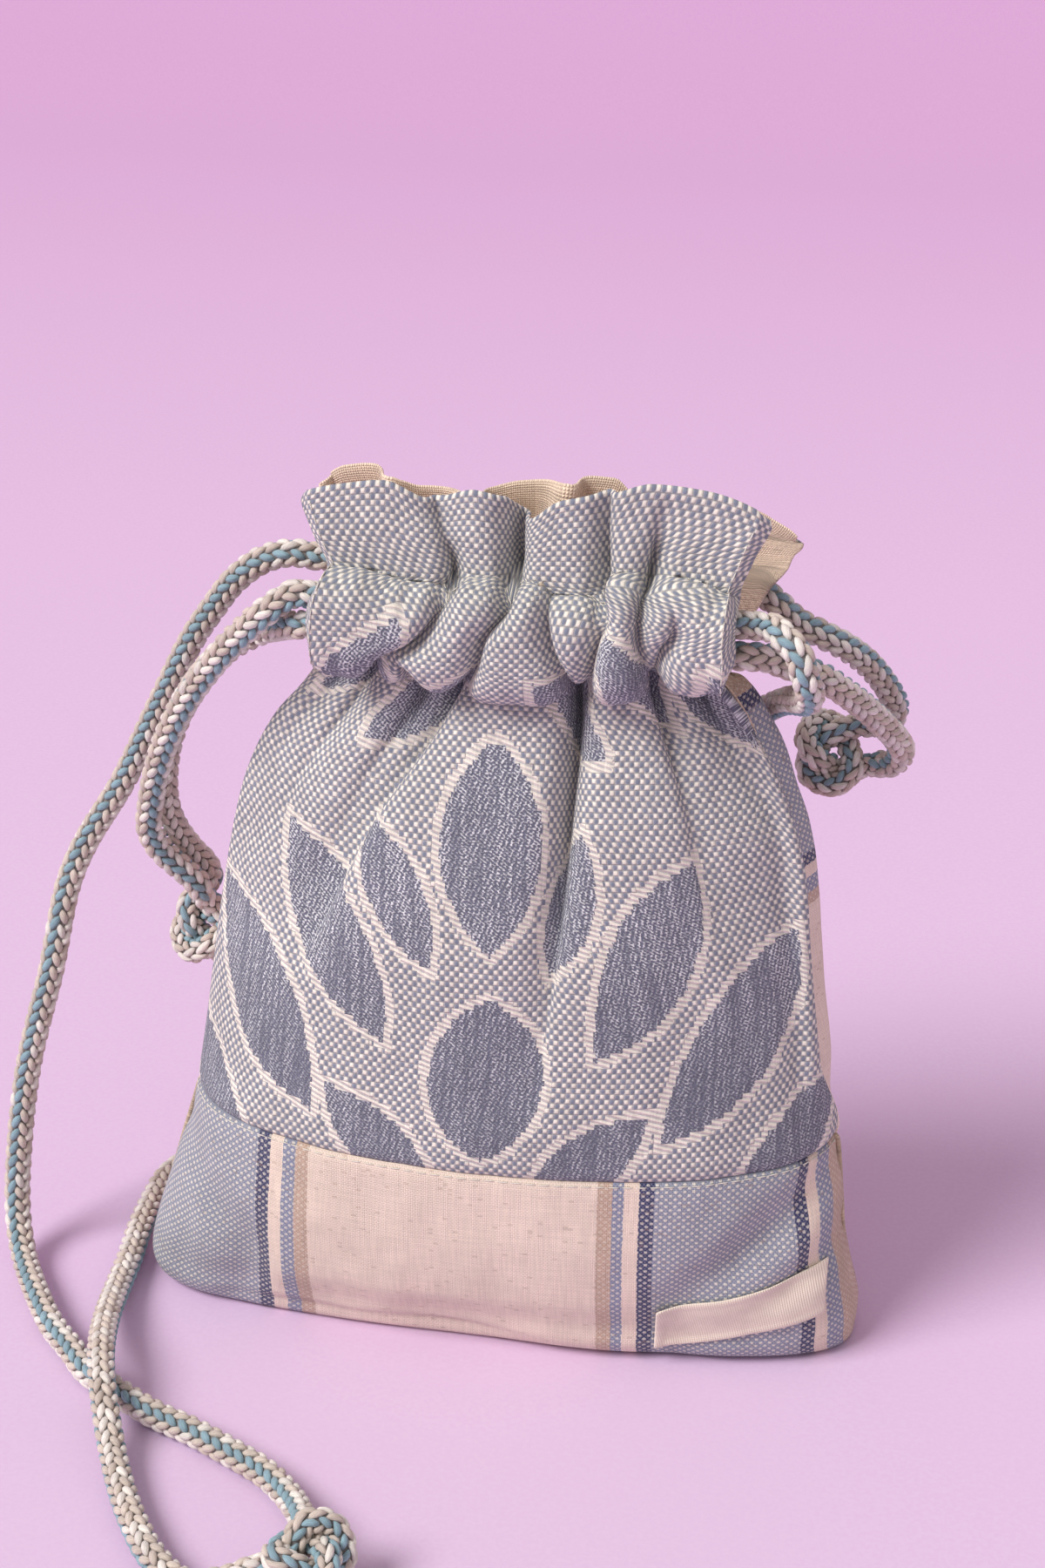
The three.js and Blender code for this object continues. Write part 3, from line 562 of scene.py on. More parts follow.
def panel(name, front, low, high, material, columns=181, step=0.9):
    """One outer panel of cloth. It is turned in at the slits' edges and at the top, and thicker there."""
    u, v = skin_grid(columns, low, high, step)
    outer, direction = skin(front, u, v)
    hem = smooth(np.abs(outer[..., 0]), 39, 41.5) * smooth(outer[..., 2], SLIT_START, SLIT_START + 4)
    turned = smooth(outer[..., 2], CASING_TOP + 11, CASING_TOP + 12)
    inner = outer - direction * (CLOTH * (1 + 0.2 * np.maximum(hem, turned)))[..., None]
    inner[..., 2] = np.maximum(inner[..., 2], np.where(v < 2, CLOTH * 0.9, 0))
    return cloth_piece(name, outer, inner, flat_places(outer, v, 2 + PATCH_SEAM), material, front)


def lining_side(name, front, material):
    """The lining of one side, which is also the inner wall of the casing."""
    u, v = skin_grid(151, 0, TOP - 2 if front else TOP, 1.2)
    forward = smooth(v, 60, 76) * smooth(v, SLIT_START + 6, SLIT_START)
    u = u * (1 - 0.09 * forward * smooth(u, 0.4, 1))
    outer, direction = skin(front, u, v)
    face = outer - direction * (CLOTH * 1.2 + LAYER_GAP)
    sign = -1 if front else 1
    height = face[..., 2].copy()
    room = CORD_Y / MM - casing_room(height, LINING_ROOM)
    if not front:
        leaning = FLAP_LINING + FLAP_SLOPE * np.maximum(height - FLAP_START, 0)
        room = mix(room, np.minimum(room, leaning), smooth(u, 0.66, 0.8))
    deep = face[..., 1] * sign
    kept = np.maximum(np.minimum(deep, room), LINING_DEPTH)
    face[..., 1] = mix(deep, kept, smooth(height, SLIT_START, SLIT_START + 5)) * sign
    drawn_in = mix(0.985, 1.004, smooth(height, CASING_TOP - 4, CASING_TOP))
    face[..., 0] *= mix(1, drawn_in, smooth(np.abs(u), 0.9, 1))
    if not front:
        face[..., 2] += 1.6 * smooth(v, TOP - 4, TOP + 2)
    inner = face - unit(mix(direction, normals(face, front), 0.5)) * LINING
    nearest = 0.3 if front else 0.3 - SEAM_FORWARD * forward * smooth(u, 0.7, 0.9)
    inner[..., 1] = sign * np.maximum(inner[..., 1] * sign, nearest)
    inner[..., 2] = np.maximum(inner[..., 2], np.where(v < 2, CLOTH + LAYER_GAP + LINING, 0))
    return cloth_piece(name, face, inner, flat_places(face, v, 2 + PATCH_SEAM), material, front)


def face_at(grid, x, z):
    """Depth of a grid of points at a place across and a height."""
    depths = [np.interp(x, row[:, 0], row[:, 1]) for row in grid]
    heights = [np.interp(x, row[:, 0], row[:, 2]) for row in grid]
    return np.interp(z, heights, depths)


def template(resize, **settings):
    """The points and faces of one stitch, modelled as a stretched ball about the origin, in mm."""
    bpy.ops.object.select_all(action="DESELECT")
    bpy.ops.mesh.primitive_uv_sphere_add(radius=1, location=(0, 0, 0), **settings)
    ball = bpy.context.object
    bpy.ops.object.mode_set(mode="EDIT")
    bpy.ops.mesh.select_all(action="SELECT")
    bpy.ops.transform.resize(value=resize)
    bpy.ops.object.mode_set(mode="OBJECT")
    points = np.array([v.co[:] for v in ball.data.vertices])
    faces = [list(p.vertices) for p in ball.data.polygons]
    mesh = ball.data
    bpy.data.objects.remove(ball)
    bpy.data.meshes.remove(mesh)
    return points, faces


def copies(count, size, faces):
    """The faces of that many copies of a template of so many points, one after another."""
    return [[corner + copy * size for corner in face] for copy in range(count) for face in faces]


def run_along(line):
    """How far along a line each of its points is."""
    return np.concatenate([[0], np.cumsum(np.linalg.norm(np.diff(line, axis=0), axis=-1))])


def read_off(at, run, rows):
    """The points or directions of a line's rows at some places along its run."""
    return np.stack([np.interp(at, run, rows[:, k]) for k in range(3)], -1)


def centre_line(route, step=0.4):
    """Evenly spaced points in mm on the smooth curve through a route in metres."""
    knots = np.array(route) / MM
    knots = np.concatenate([[2 * knots[0] - knots[1]], knots, [2 * knots[-1] - knots[-2]]])
    spans = np.linalg.norm(np.diff(knots, axis=0), axis=-1) ** 0.5
    t = np.linspace(0, 1, 24, endpoint=False)[:, None]
    line = []
    for i in range(1, len(knots) - 2):
        a, b, c, d = knots[i - 1 : i + 3]
        s0, s1, s2 = spans[i - 1 : i + 2]
        start = ((b - a) / s0 - (c - a) / (s0 + s1) + (c - b) / s1) * s1
        end = ((c - b) / s1 - (d - b) / (s1 + s2) + (d - c) / s2) * s1
        line.append(b + start * t + (3 * (c - b) - 2 * start - end) * t**2 + (2 * (b - c) + start + end) * t**3)
    line = np.concatenate([*line, knots[-2][None]])
    run = run_along(line)
    return read_off(np.linspace(0, run[-1], max(2, round(run[-1] / step)) + 1), run, line)


def frames_along(line, first_normal=(0, -1, 0)):
    """Tangent, normal and binormal at each point of a line, without twist."""
    tangent = unit(np.gradient(line, axis=0))
    normal = np.zeros_like(line)
    last = np.array(first_normal, float)
    for i, along in enumerate(tangent):
        last = unit(last - along * (last @ along))
        normal[i] = last
    return tangent, normal, np.cross(tangent, normal)


def braid(name, line, material, turn=0.0, thick=1.0, seed=1):
    """A braid along a line in mm: columns of slanting stitches round a core painted dark as the shade between them."""
    settings = bpy.context.scene.bag_cord
    columns = settings.columns
    radius = settings.diameter / 2 / MM * thick
    pitch = settings.pitch / MM * thick
    run = run_along(line)
    frames = frames_along(line)
    chance = np.random.default_rng(seed)

    def place(along, angle, out):
        """Points some way along the braid, at angles round it and distances from its middle."""
        middle, tangent, normal, side = (read_off(along, run, part) for part in (line, *frames))
        past = (along - np.clip(along, 0, run[-1]))[..., None]
        ring = normal * np.cos(angle)[..., None] + side * np.sin(angle)[..., None]
        return middle + tangent * past + ring * out[..., None]

    stitch, stitch_faces = template((STITCH / 2, STITCH_WIDTH / 2, STITCH_HEIGHT / 2), segments=10, ring_count=5)
    stitch[:, 2] -= 0.45 * (stitch[:, 0] * 2 / STITCH) ** 4
    stitch = stitch * thick
    rows = int(run[-1] / pitch)
    count = rows * columns
    column, row = np.divmod(np.arange(count), rows)
    lean = np.where(column % 2, 1, -1) * STITCH_SLOPE + chance.normal(0, 0.06, count)
    centre = (row + 0.25 + 0.5 * (column % 2)) * run[-1] / rows + chance.normal(0, 0.05, count)
    size = 1 + chance.normal(0, 0.03, count)
    lean, centre, size = lean[:, None], centre[:, None], size[:, None]
    x, y, z = stitch.T
    along = centre + size * (x * np.cos(lean) - y * np.sin(lean))
    across = size * (x * np.sin(lean) + y * np.cos(lean))
    angle = turn + (column * 2 * math.pi / columns)[:, None] + across / radius
    lift = radius - STITCH_HEIGHT / 2 * thick + z - 0.04 * across**2
    points = place(along, angle, lift).reshape(-1, 3)
    faces = copies(count, len(stitch), stitch_faces)
    yarn = np.array([YARNS[key] for key in COLUMN_YARNS])[column % len(COLUMN_YARNS)]
    odd = chance.random(count)
    yarn = np.where((yarn == YARNS["white"]) & (odd < 0.25), YARNS["taupe"], yarn)
    yarn = np.where((yarn == YARNS["taupe"]) & (odd > 0.8), YARNS["white"], yarn)
    tone = chance.random(count)
    strand = np.stack([np.tile(x, count) + np.repeat(row * 7.3, len(stitch)), np.tile(y, count)], -1)

    # The core: a tube under the stitches that shows between them as painted shade.
    sides = 10
    rings = np.append(np.arange(0, run[-1], 1.3), run[-1])
    around = np.arange(sides) * 2 * math.pi / sides
    core = place(*np.broadcast_arrays(rings[:, None], around, radius - 1.1)).reshape(-1, 3)
    ids = len(points) + np.arange(len(core)).reshape(-1, sides)
    shifted = np.roll(ids, -1, axis=1)
    tube = np.stack([ids[:-1], ids[1:], shifted[1:], shifted[:-1]], -1).reshape(-1, 4)
    faces += tube[:, ::-1].tolist() + [ids[0].tolist(), ids[-1, ::-1].tolist()]
    flat = np.concatenate([strand, np.zeros((len(core), 2))])
    piece = mesh_piece(name, np.concatenate([points, core]) * MM, faces, material, flat)
    for title, values, spare in (("yarn", yarn, YARNS["gap"]), ("tone", tone, 0.5)):
        values = np.concatenate([np.repeat(values, len(stitch)), np.full(len(core), spare)])
        piece.data.attributes.new(title, "FLOAT", "POINT").data.foreach_set("value", values.astype(np.float32))
    return piece


def overhand(at, first, last, axis, lowest=None):
    """The line in mm of an overhand knot that one cord's line leads into and another's leads out of. axis is the
    direction that its flat side faces."""
    centre = np.array(at) / MM
    ends = [first[-1], last[-1]]
    axis = unit(np.array(axis, float))
    way = unit(ends[0] + ends[1] - 2 * centre)
    way = unit(way - axis * (way @ axis))
    side = np.cross(axis, way)
    t = np.linspace(0.42, 2 * math.pi - 0.42, 60)[:, None]
    radius = KNOT_RADIUS + KNOT_LOBE * np.cos(3 * t)
    loop = centre + radius * (way * np.cos(2 * t) + side * np.sin(2 * t)) + axis * KNOT_DEPTH * np.sin(3 * t)
    if lowest is not None:
        loop[:, 2] += max(0, lowest - loop[:, 2].min())
    return np.concatenate([first[[-8, -1]], loop[::4], last[[-1, -8]]])


class Value:
    """An output of a material's node tree. Arithmetic with it adds the nodes that work it out."""

    def __init__(self, socket):
        self.socket = socket

    def calc(self, operation, *others):
        """What a Math node makes of this value and others."""
        return add(self, "Math", self, *others, operation=operation)

    def __add__(self, other):
        return self.calc("ADD", other)

    def __sub__(self, other):
        return self.calc("SUBTRACT", other)

    def __mul__(self, other):
        return self.calc("MULTIPLY", other)

    def __truediv__(self, other):
        return self.calc("DIVIDE", other)

    def __abs__(self):
        return self.calc("ABSOLUTE")


def add(tree, kind, *values, out=0, **settings):
    """Adds a node to a tree, or to the tree that a value is in, and returns one of its outputs. Values are given in
    the inputs' order, or named in a dict."""
    tree = tree.socket.id_data if isinstance(tree, Value) else tree
    made = tree.nodes.new("ShaderNode" + kind)
    for name, value in settings.items():
        setattr(made, name, value)
    for place, value in enumerate(values):
        for socket, given in value.items() if isinstance(value, dict) else [(place, value)]:
            if isinstance(given, Value):
                tree.links.new(given.socket, made.inputs[socket])
            else:
                made.inputs[socket].default_value = given
    return Value(made.outputs[out]) if made.outputs else None


def opaque(colour):
    """A colour as a node takes it: a value of its tree, or red, green, blue and alpha."""
    return colour if isinstance(colour, Value) else (*colour, 1)


def ramp(value, low, high, from_low=0.0, to_high=1.0):
    """Smoothly from one value at low to another at high."""
    return add(value, "MapRange", value, low, high, from_low, to_high, interpolation_type="SMOOTHSTEP")


def tint(share, first, second):
    """The second colour over the first by a share."""
    return add(share, "Mix", {0: share, 6: opaque(first), 7: opaque(second)}, out=2, data_type="RGBA")


def shaded(colour, *shades):
    """The colour darkened or lightened by the product of some grey shades."""
    shade = shades[0]
    for other in shades[1:]:
        shade = shade * other
    values = {0: 1.0, 6: opaque(colour), 7: add(shade, "CombineXYZ", shade, shade, shade)}
    return add(shade, "Mix", values, out=2, data_type="RGBA", blend_type="MULTIPLY")


def stepped(value, cell):
    """The middle of the cell that the value is in."""
    return value.calc("SNAP", cell) + cell / 2


def wave(value, length):
    """A sine wave of that length in mm."""
    return (value * (2 * math.pi / length)).calc("SINE")


def checks(flat, width, height):
    """Soft checks from -1 to 1 that repeat every width and height in mm."""
    return wave(flat[0], width) * wave(flat[1], height)


def speckle(flat, width, height):
    """A random tone for each cell of the cloth."""
    cells = [(place / size).calc("FLOOR") for place, size in zip(flat, (width, height))]
    return add(flat[0], "TexWhiteNoise", {"Vector": add(flat[0], "CombineXYZ", *cells)}, noise_dimensions="2D")


def slubs(flat, width, share):
    """Rare short specks of a width in mm, as their share of the colour."""
    return ramp(speckle(flat, width, 0.55), 0.965, 0.98, 0.0, share)


def clouds(flat, width, height, detail=2.0):
    """Soft noise about 0.5 with features of that width and height in mm."""
    place = add(flat[0], "CombineXYZ", flat[0] / width, flat[1] / height)
    return add(place, "TexNoise", {"Vector": place, "Scale": 1.0, "Detail": detail})


def drift(flat, width, height, dark, pale):
    """A shade that wanders from dark to pale over patches of that width and height in mm."""
    return ramp(clouds(flat, width, height), 0.3, 0.7, dark, pale)


def new_material(name):
    """A new material and its emptied node tree."""
    material = bpy.data.materials.new(name)
    material.use_nodes = True
    material.node_tree.nodes.clear()
    return material, material.node_tree


def start_cloth(name):
    """A new material, and across and up on the piece's flat cloth, in mm."""
    material, tree = new_material(name)
    across = add(tree, "SeparateXYZ", add(tree, "UVMap", uv_map="flat"))
    return material, (across, Value(across.socket.node.outputs[1]))


def finish_cloth(colour, height, relief, roughness=0.92, sheen=0.2):
    """A matt woven surface: the threads' height as relief in mm, and the soft sheen of loose fibres."""
    normal = add(height, "Bump", {"Strength": 0.9, "Distance": relief * MM, "Height": height})
    add(height, "OutputMaterial", add(height, "BsdfPrincipled", {
        "Base Color": colour, "Roughness": roughness, "IOR": 1.5, "Specular IOR Level": 0.25,
        "Sheen Weight": sheen, "Sheen Roughness": 0.5, "Normal": normal,
    }))


def petal_edge(place, foot, tip, width):
    """Distance in mm from a pointed petal, negative inside: two circles that overlap from its foot to its tip."""
    foot, tip = Vector(foot), Vector(tip)
    length = (tip - foot).length
    radius = (length**2 + width**2) / (4 * width)
    middle = (foot + tip) / 2
    side = Vector((foot.y - tip.y, tip.x - foot.x)).normalized() * (radius - width / 2)
    left, right = (
        add(place, "VectorMath", place, (*centre, 0), operation="DISTANCE", out=1) - radius
        for centre in (middle + side, middle - side)
    )
    return left.calc("MAXIMUM", right)


def fan_edge(across, up, petals, foot):
    """Distance in mm from the nearest petal of a mirrored fan with its foot at that place."""
    place = add(across, "CombineXYZ", abs(across - foot[0]), up - foot[1])
    nearest = petal_edge(place, *petals[0])
    for petal in petals[1:]:
        nearest = nearest.calc("MINIMUM", petal_edge(place, *petal))
    return nearest


def figured_jacquard(cloth):
    """Cotton jacquard in cream and slate: a ground of oval cream floats in staggered rows with painted shade in the
    gaps between the rows, flecked petals with dark warp streaks that are painted paler higher up as if lit more, and
    outlines of slanting cream floats that step from row to row."""
    material, flat = start_cloth("figured_cotton_jacquard")
    across, up = flat
    cell = cloth.cell
    row = 1.15 * cell
    wobble = clouds(flat, 1.6, 1.4) - 0.5
    basket = checks(flat, 2 * cell, 2 * row) + wobble
    cream_cell = ramp(basket, -0.65, 0.8)
    # Painted shade: the thin gaps between the rows of floats are darkened as if shadowed.
    painted_row_shade = ramp(abs(wave(up, 2 * row)), 0.0, 0.55, 0.66, 1.0)
    ground = shaded(tint(cream_cell, cloth.slate, cloth.cream), painted_row_shade)

    step_across, step_up = stepped(across, cell / 2), stepped(up, row)
    away = abs(step_across - cloth.fan_across)
    fans = [fan_edge(away, step_up, *fan) for fan in ((FAN, (0, 0)), (UPPER_FAN, UPPER_FAN_PLACE))]
    ragged = (speckle(flat, 2.6, row) - 0.5) * 0.6
    nearest = fans[0].calc("MINIMUM", fans[1]) + ragged
    inside = nearest.calc("LESS_THAN", 0.0)
    outline = abs(nearest - 0.85).calc("LESS_THAN", 0.95)

    rope = wave(up + across * 0.3, row) + wobble * 1.4
    floats = tint(ramp(rope, -1.1, -0.3, 0.6, 0.0), cloth.cream, cloth.slate)
    seeds = wave(across + up * 0.5, 1.1) * wave(up, row)
    grain = seeds * 0.45 + (clouds(flat, 0.6, 0.45, 1.0) - 0.5) * 2.6
    flecks = ramp(grain, -0.25, 0.5)
    streaks = ramp(clouds(flat, 1.0, 30.0), 0.38, 0.6, 0.3, 1.0)
    fields = ramp(clouds(flat, 18.0, 30.0), 0.35, 0.65, 0.75, 1.0)
    # Painted light: the petals' flecks grow paler higher up the cloth, as if the upper belly is lit more.
    painted_light_above = ramp(up, 15.0, 75.0, 0.85, 1.5)
    petal = tint(flecks * streaks * (fields * painted_light_above), cloth.petal, cloth.petal_fleck)

    colour = shaded(
        tint(outline, tint(inside, ground, petal), floats),
        ramp(speckle(flat, cell, row), 0.0, 1.0, 0.9, 1.05),
        drift(flat, 0.35, 4.0, 0.92, 1.04),
        drift(flat, 26.0, 26.0, 0.95, 1.05),
    )
    height = abs(basket).calc("POWER", 0.6) * 0.6 + cream_cell * 0.4
    for share, other in ((inside, flecks * 0.7), (outline, ramp(rope, -1.0, 1.0, 0.5, 1.35))):
        height = add(share, "Mix", {0: share, 2: height, 3: other}, data_type="FLOAT")
    finish_cloth(colour, height + clouds(flat, 0.12, 0.3, 1.0) * 0.35, 0.34)
    return material


def stripe_value(place, edges, values, low):
    """What the stripe at a place holds: a colour, or a number as a grey."""
    made = add(place, "ValToRGB", add(place, "MapRange", place, low, edges[-1], 0.0, 1.0))
    band = made.socket.node.color_ramp
    band.interpolation = "CONSTANT"
    band.elements.remove(band.elements[-1])
    later = [band.elements.new((edge - low) / (edges[-1] - low)) for edge in edges[:-1]]
    for element, value in zip([band.elements[0], *later], values):
        element.color = opaque(value)
    return made


def striped_cotton(cloth, name, stripes, along_up):
    """Striped dobby cotton: chambray and narrow stripes with staggered white pick dots, between plain cream bands
    with small brown slubs."""
    material, flat = start_cloth(name)
    place = flat[1 if along_up else 0] + (clouds(flat, 1.2, 1.2) - 0.5) * 0.5
    edges = [edge for edge, _ in stripes]
    low = edges[0] - 60
    yarn = stripe_value(place, edges, [getattr(cloth, yarn) for _, yarn in stripes], low)
    amount = stripe_value(place, edges, [(DOTTED[yarn],) * 3 for _, yarn in stripes], low)
    dots = checks(flat, 2.0, 1.7) + (clouds(flat, 1.0, 1.0) - 0.5)
    dot = ramp(dots, 0.1, 0.62) * amount
    plain = checks(flat, 0.82, 0.9)
    colour = tint(ramp(plain, -1.0, 1.0, 0.0, 0.14), yarn, WHITE)
    colour = tint(dot, colour, cloth.cream)
    colour = tint(slubs(flat, 1.1, 0.28), colour, (0.4, 0.27, 0.18))
    colour = shaded(
        colour,
        drift(flat, 0.5, 9.0, 0.93, 1.04),
        drift(flat, 9.0, 0.6, 0.95, 1.03),
        drift(flat, 24.0, 24.0, 0.94, 1.05),
        ramp(plain, -1.0, 1.0, 0.93, 1.03),
    )
    finish_cloth(colour, abs(plain) * 0.6 + dot * 0.9 + clouds(flat, 0.15, 0.15, 1.0) * 0.4, 0.26)
    return material


def plain_linen(name, colour, dark=(0.42, 0.34, 0.26), cell=0.62):
    """Plain woven linen: uneven threads both ways, with thick places and small dark flecks."""
    material, flat = start_cloth(name)
    weave = checks(flat, 2 * cell, 2 * cell)
    threads, picks = drift(flat, 0.5, 14.0, 0.86, 1.08), drift(flat, 14.0, 0.5, 0.86, 1.08)
    colour = tint(slubs(flat, 1.7, 0.4), colour, dark)
    colour = shaded(colour, threads, picks, ramp(weave, -1.0, 1.0, 0.9, 1.05))
    finish_cloth(colour, abs(weave) + (threads + picks) * 1.2, 0.25)
    return material


def ribbed_tape(cloth):
    """Cotton label tape: fine ribs across, a little soft and uneven."""
    material, flat = start_cloth("ribbed_cotton_tape")
    across, up = flat
    ribs = wave(across + up * 0.25, 0.5)
    colour = shaded(cloth.tape, ramp(ribs, -1.0, 1.0, 0.93, 1.0), drift(flat, 5.0, 3.0, 0.95, 1.02))
    finish_cloth(colour, ribs + wave(up, 0.42) * 0.4, 0.07, 0.8)
    return material


def sewing_thread(cloth):
    """Two-ply cotton thread: a fine twist along each stitch."""
    material, (along, across) = start_cloth("cotton_sewing_thread")
    twist = wave(along + across * 1.4, 0.45)
    colour = tint(ramp(twist, -1.0, 0.3, 0.35, 0.0), cloth.thread, (0.5, 0.46, 0.42))
    finish_cloth(colour, twist, 0.06, 0.75)
    return material


def braided_cotton(settings):
    """Soft cotton and viscose yarns, braided: each stitch keeps its yarn's colour, its own tone and fine fibres."""
    material, flat = start_cloth("braided_cotton_cord")
    yarn, tone = (add(flat[0], "Attribute", attribute_name=name, out=2) for name in ("yarn", "tone"))
    # The core starts in the gap colour, painted shade between the stitches.
    colour = settings.gap
    for key in ("taupe", "white", "teal"):
        colour = tint(yarn.calc("GREATER_THAN", YARNS[key] - YARN_STEP / 2), colour, getattr(settings, key))
    hair = clouds(flat, 1.3, 0.14)
    colour = shaded(colour, ramp(hair, 0.3, 0.7, 0.82, 1.08), ramp(tone, 0.0, 1.0, 0.9, 1.08))
    finish_cloth(colour, hair, 0.22, 0.62, 0.3)
    return material


def in_place(piece, body, slot, *nodes):
    """The piece rides on a body and stands for CAD nodes; its slot is not used."""
    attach(piece, body)
    if nodes:
        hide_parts(*nodes)
    return piece


class BAG_OT_outer_cloth(bpy.types.Operator):
    """Adds the four outer panels: jacquard over stripes in front, bands over linen behind"""

    bl_idname = "bag.outer_cloth"
    bl_label = "Outer cloth"

    def execute(self, context):
        cloth = context.scene.bag_cloth
        low, high = PATCH_SEAM - SEAM_HALF_GAP, PATCH_SEAM + SEAM_HALF_GAP
        stripes = striped_cotton(cloth, "striped_dobby_cotton", STRIPES, False)
        bands = striped_cotton(cloth, "banded_dobby_cotton", BANDS, True)
        figured = panel("figured_front", True, high, TOP, figured_jacquard(cloth))
        in_place(figured, "bag", "figured_jacquard", "front_upper_panel")
        striped = panel("striped_front", True, 0, low, stripes)
        in_place(striped, "bag", "striped_cloth", "front_lower_panel")
        banded = panel("banded_back", False, high, BACK_TOP, bands)
        in_place(banded, "bag", "banded_cloth", "back_upper_panel")
        tan = panel("linen_back", False, 0, low, plain_linen("tan_linen", cloth.linen))
        in_place(tan, "bag", "tan_linen", "back_lower_panel")
        return {"FINISHED"}


class BAG_OT_lining(bpy.types.Operator):
    """Adds the linen lining, front and back"""

    bl_idname = "bag.lining"
    bl_label = "Lining"

    def execute(self, context):
        linen = plain_linen("cream_linen_lining", context.scene.bag_cloth.lining, (0.62, 0.5, 0.38), 0.5)
        for front, name, node in ((True, "lining_front", "front_lining"), (False, "lining_back", "back_lining")):
            piece = in_place(lining_side(name, front, linen), "bag", "lining_linen", node)
        return {"FINISHED"}


class BAG_OT_label(bpy.types.Operator):
    """Adds the blank label, sewn into the right side seam"""

    bl_idname = "bag.label"
    bl_label = "Label"

    def execute(self, context):
        u, v = skin_grid(301, 0, 34, 0.8)
        ground = skin(True, u, v)[0][8:]
        share, rise = np.meshgrid(np.linspace(0, 1, 75), np.linspace(0, 1, 27))
        wave_edge = 0.25 * np.sin(share * 9 + 1) * (1 - share)
        x = LABEL_SEWN_END - LABEL_LENGTH * (1 - share) + 0.4 * (rise - 0.5) * (1 - share)
        z = LABEL_LOW + LABEL_RISE * share + LABEL_HEIGHT * rise + wave_edge
        depth = np.array([[face_at(ground, *spot) for spot in zip(*row)] for row in zip(x, z)])
        folded = np.maximum(smooth(rise, 0.13, 0.1), smooth(rise, 0.87, 0.9)) * 0.22
        folded = np.maximum(folded, smooth(share, 0.05, 0.035) * 0.4)
        curl = 0.9 * (1 - smooth(share, 0, 0.16)) * (0.4 + 0.6 * rise)
        back = depth - LAYER_GAP - 0.1 - curl
        inner = np.stack([x, back, z], -1)
        outer = np.stack([x, back - LABEL_THICKNESS - folded, z], -1)
        flat = np.stack([share * LABEL_LENGTH, rise * LABEL_HEIGHT], -1)
        piece = cloth_piece("blank_label", outer, inner, flat, ribbed_tape(context.scene.bag_cloth))
        in_place(piece, "bag", "label_tape", "side_label")
        return {"FINISHED"}


def seam_of_stitches(paths, stitch_length=2.7, gap=0.3, thread=0.15):
    """Points, faces and flat places of the stitches along several paths, each of points and directions out."""
    points, count = [], 0
    shape, shape_faces = template((stitch_length / 2, thread, thread), segments=6, ring_count=6)
    dip = 0.3 * (shape[:, 0] / (stitch_length / 2)) ** 4
    lift = 0.12 + shape[:, 2] - dip
    for line, out in paths:
        run = run_along(line)
        centres = np.arange(stitch_length / 2, run[-1] - stitch_length / 2, stitch_length + gap)
        along = centres[:, None] + shape[:, 0]
        away = unit(read_off(along, run, out))
        ahead = unit(read_off(along, run, unit(np.gradient(line, axis=0))))
        spots = read_off(along, run, line) + np.cross(away, ahead) * shape[:, 1:2] + away * lift[:, None]
        points.append(spots.reshape(-1, 3))
        count += len(centres)
    return np.concatenate(points), copies(count, len(shape), shape_faces), np.tile(shape[:, :2], (count, 1))


class BAG_OT_stitching(bpy.types.Operator):
    """Adds the casing seams, the slits' hems and the stitches along the patch seam"""

    bl_idname = "bag.stitching"
    bl_label = "Stitching"

    def execute(self, context):
        material = sewing_thread(context.scene.bag_cloth)
        for front, name in ((True, "seam_stitches_front"), (False, "seam_stitches_back")):
            u, v = skin_grid(361, 48, TOP, 0.5)
            ground, out = skin(front, u, v)
            rows = v[:, 0] - 2
            at_cords = int(np.abs(rows - CASING_TOP).argmin())
            under_seam = int(np.abs(rows - PATCH_SEAM + 1.2).argmin())
            first = int(np.abs(rows - SLIT_START - 3).argmin())
            columns = np.arange(6, ground.shape[1] - 6)
            paths = []
            for heights in seam_heights(front, even_skin(front, u, v)[at_cords, :, 0]):
                seam = np.abs(rows[:, None] - heights).argmin(axis=0)[columns]
                paths.append((ground[seam, columns], out[seam, columns]))
            paths.append((ground[under_seam], out[under_seam]))
            for share in (0.9, -0.9):
                column = int(np.abs(u[0] - share).argmin())
                paths.append((ground[first:-2, column], out[first:-2, column]))
            points, faces, flat = seam_of_stitches(paths)
            in_place(mesh_piece(name, points * MM, faces, material, flat), "bag", "label_tape")
        return {"FINISHED"}


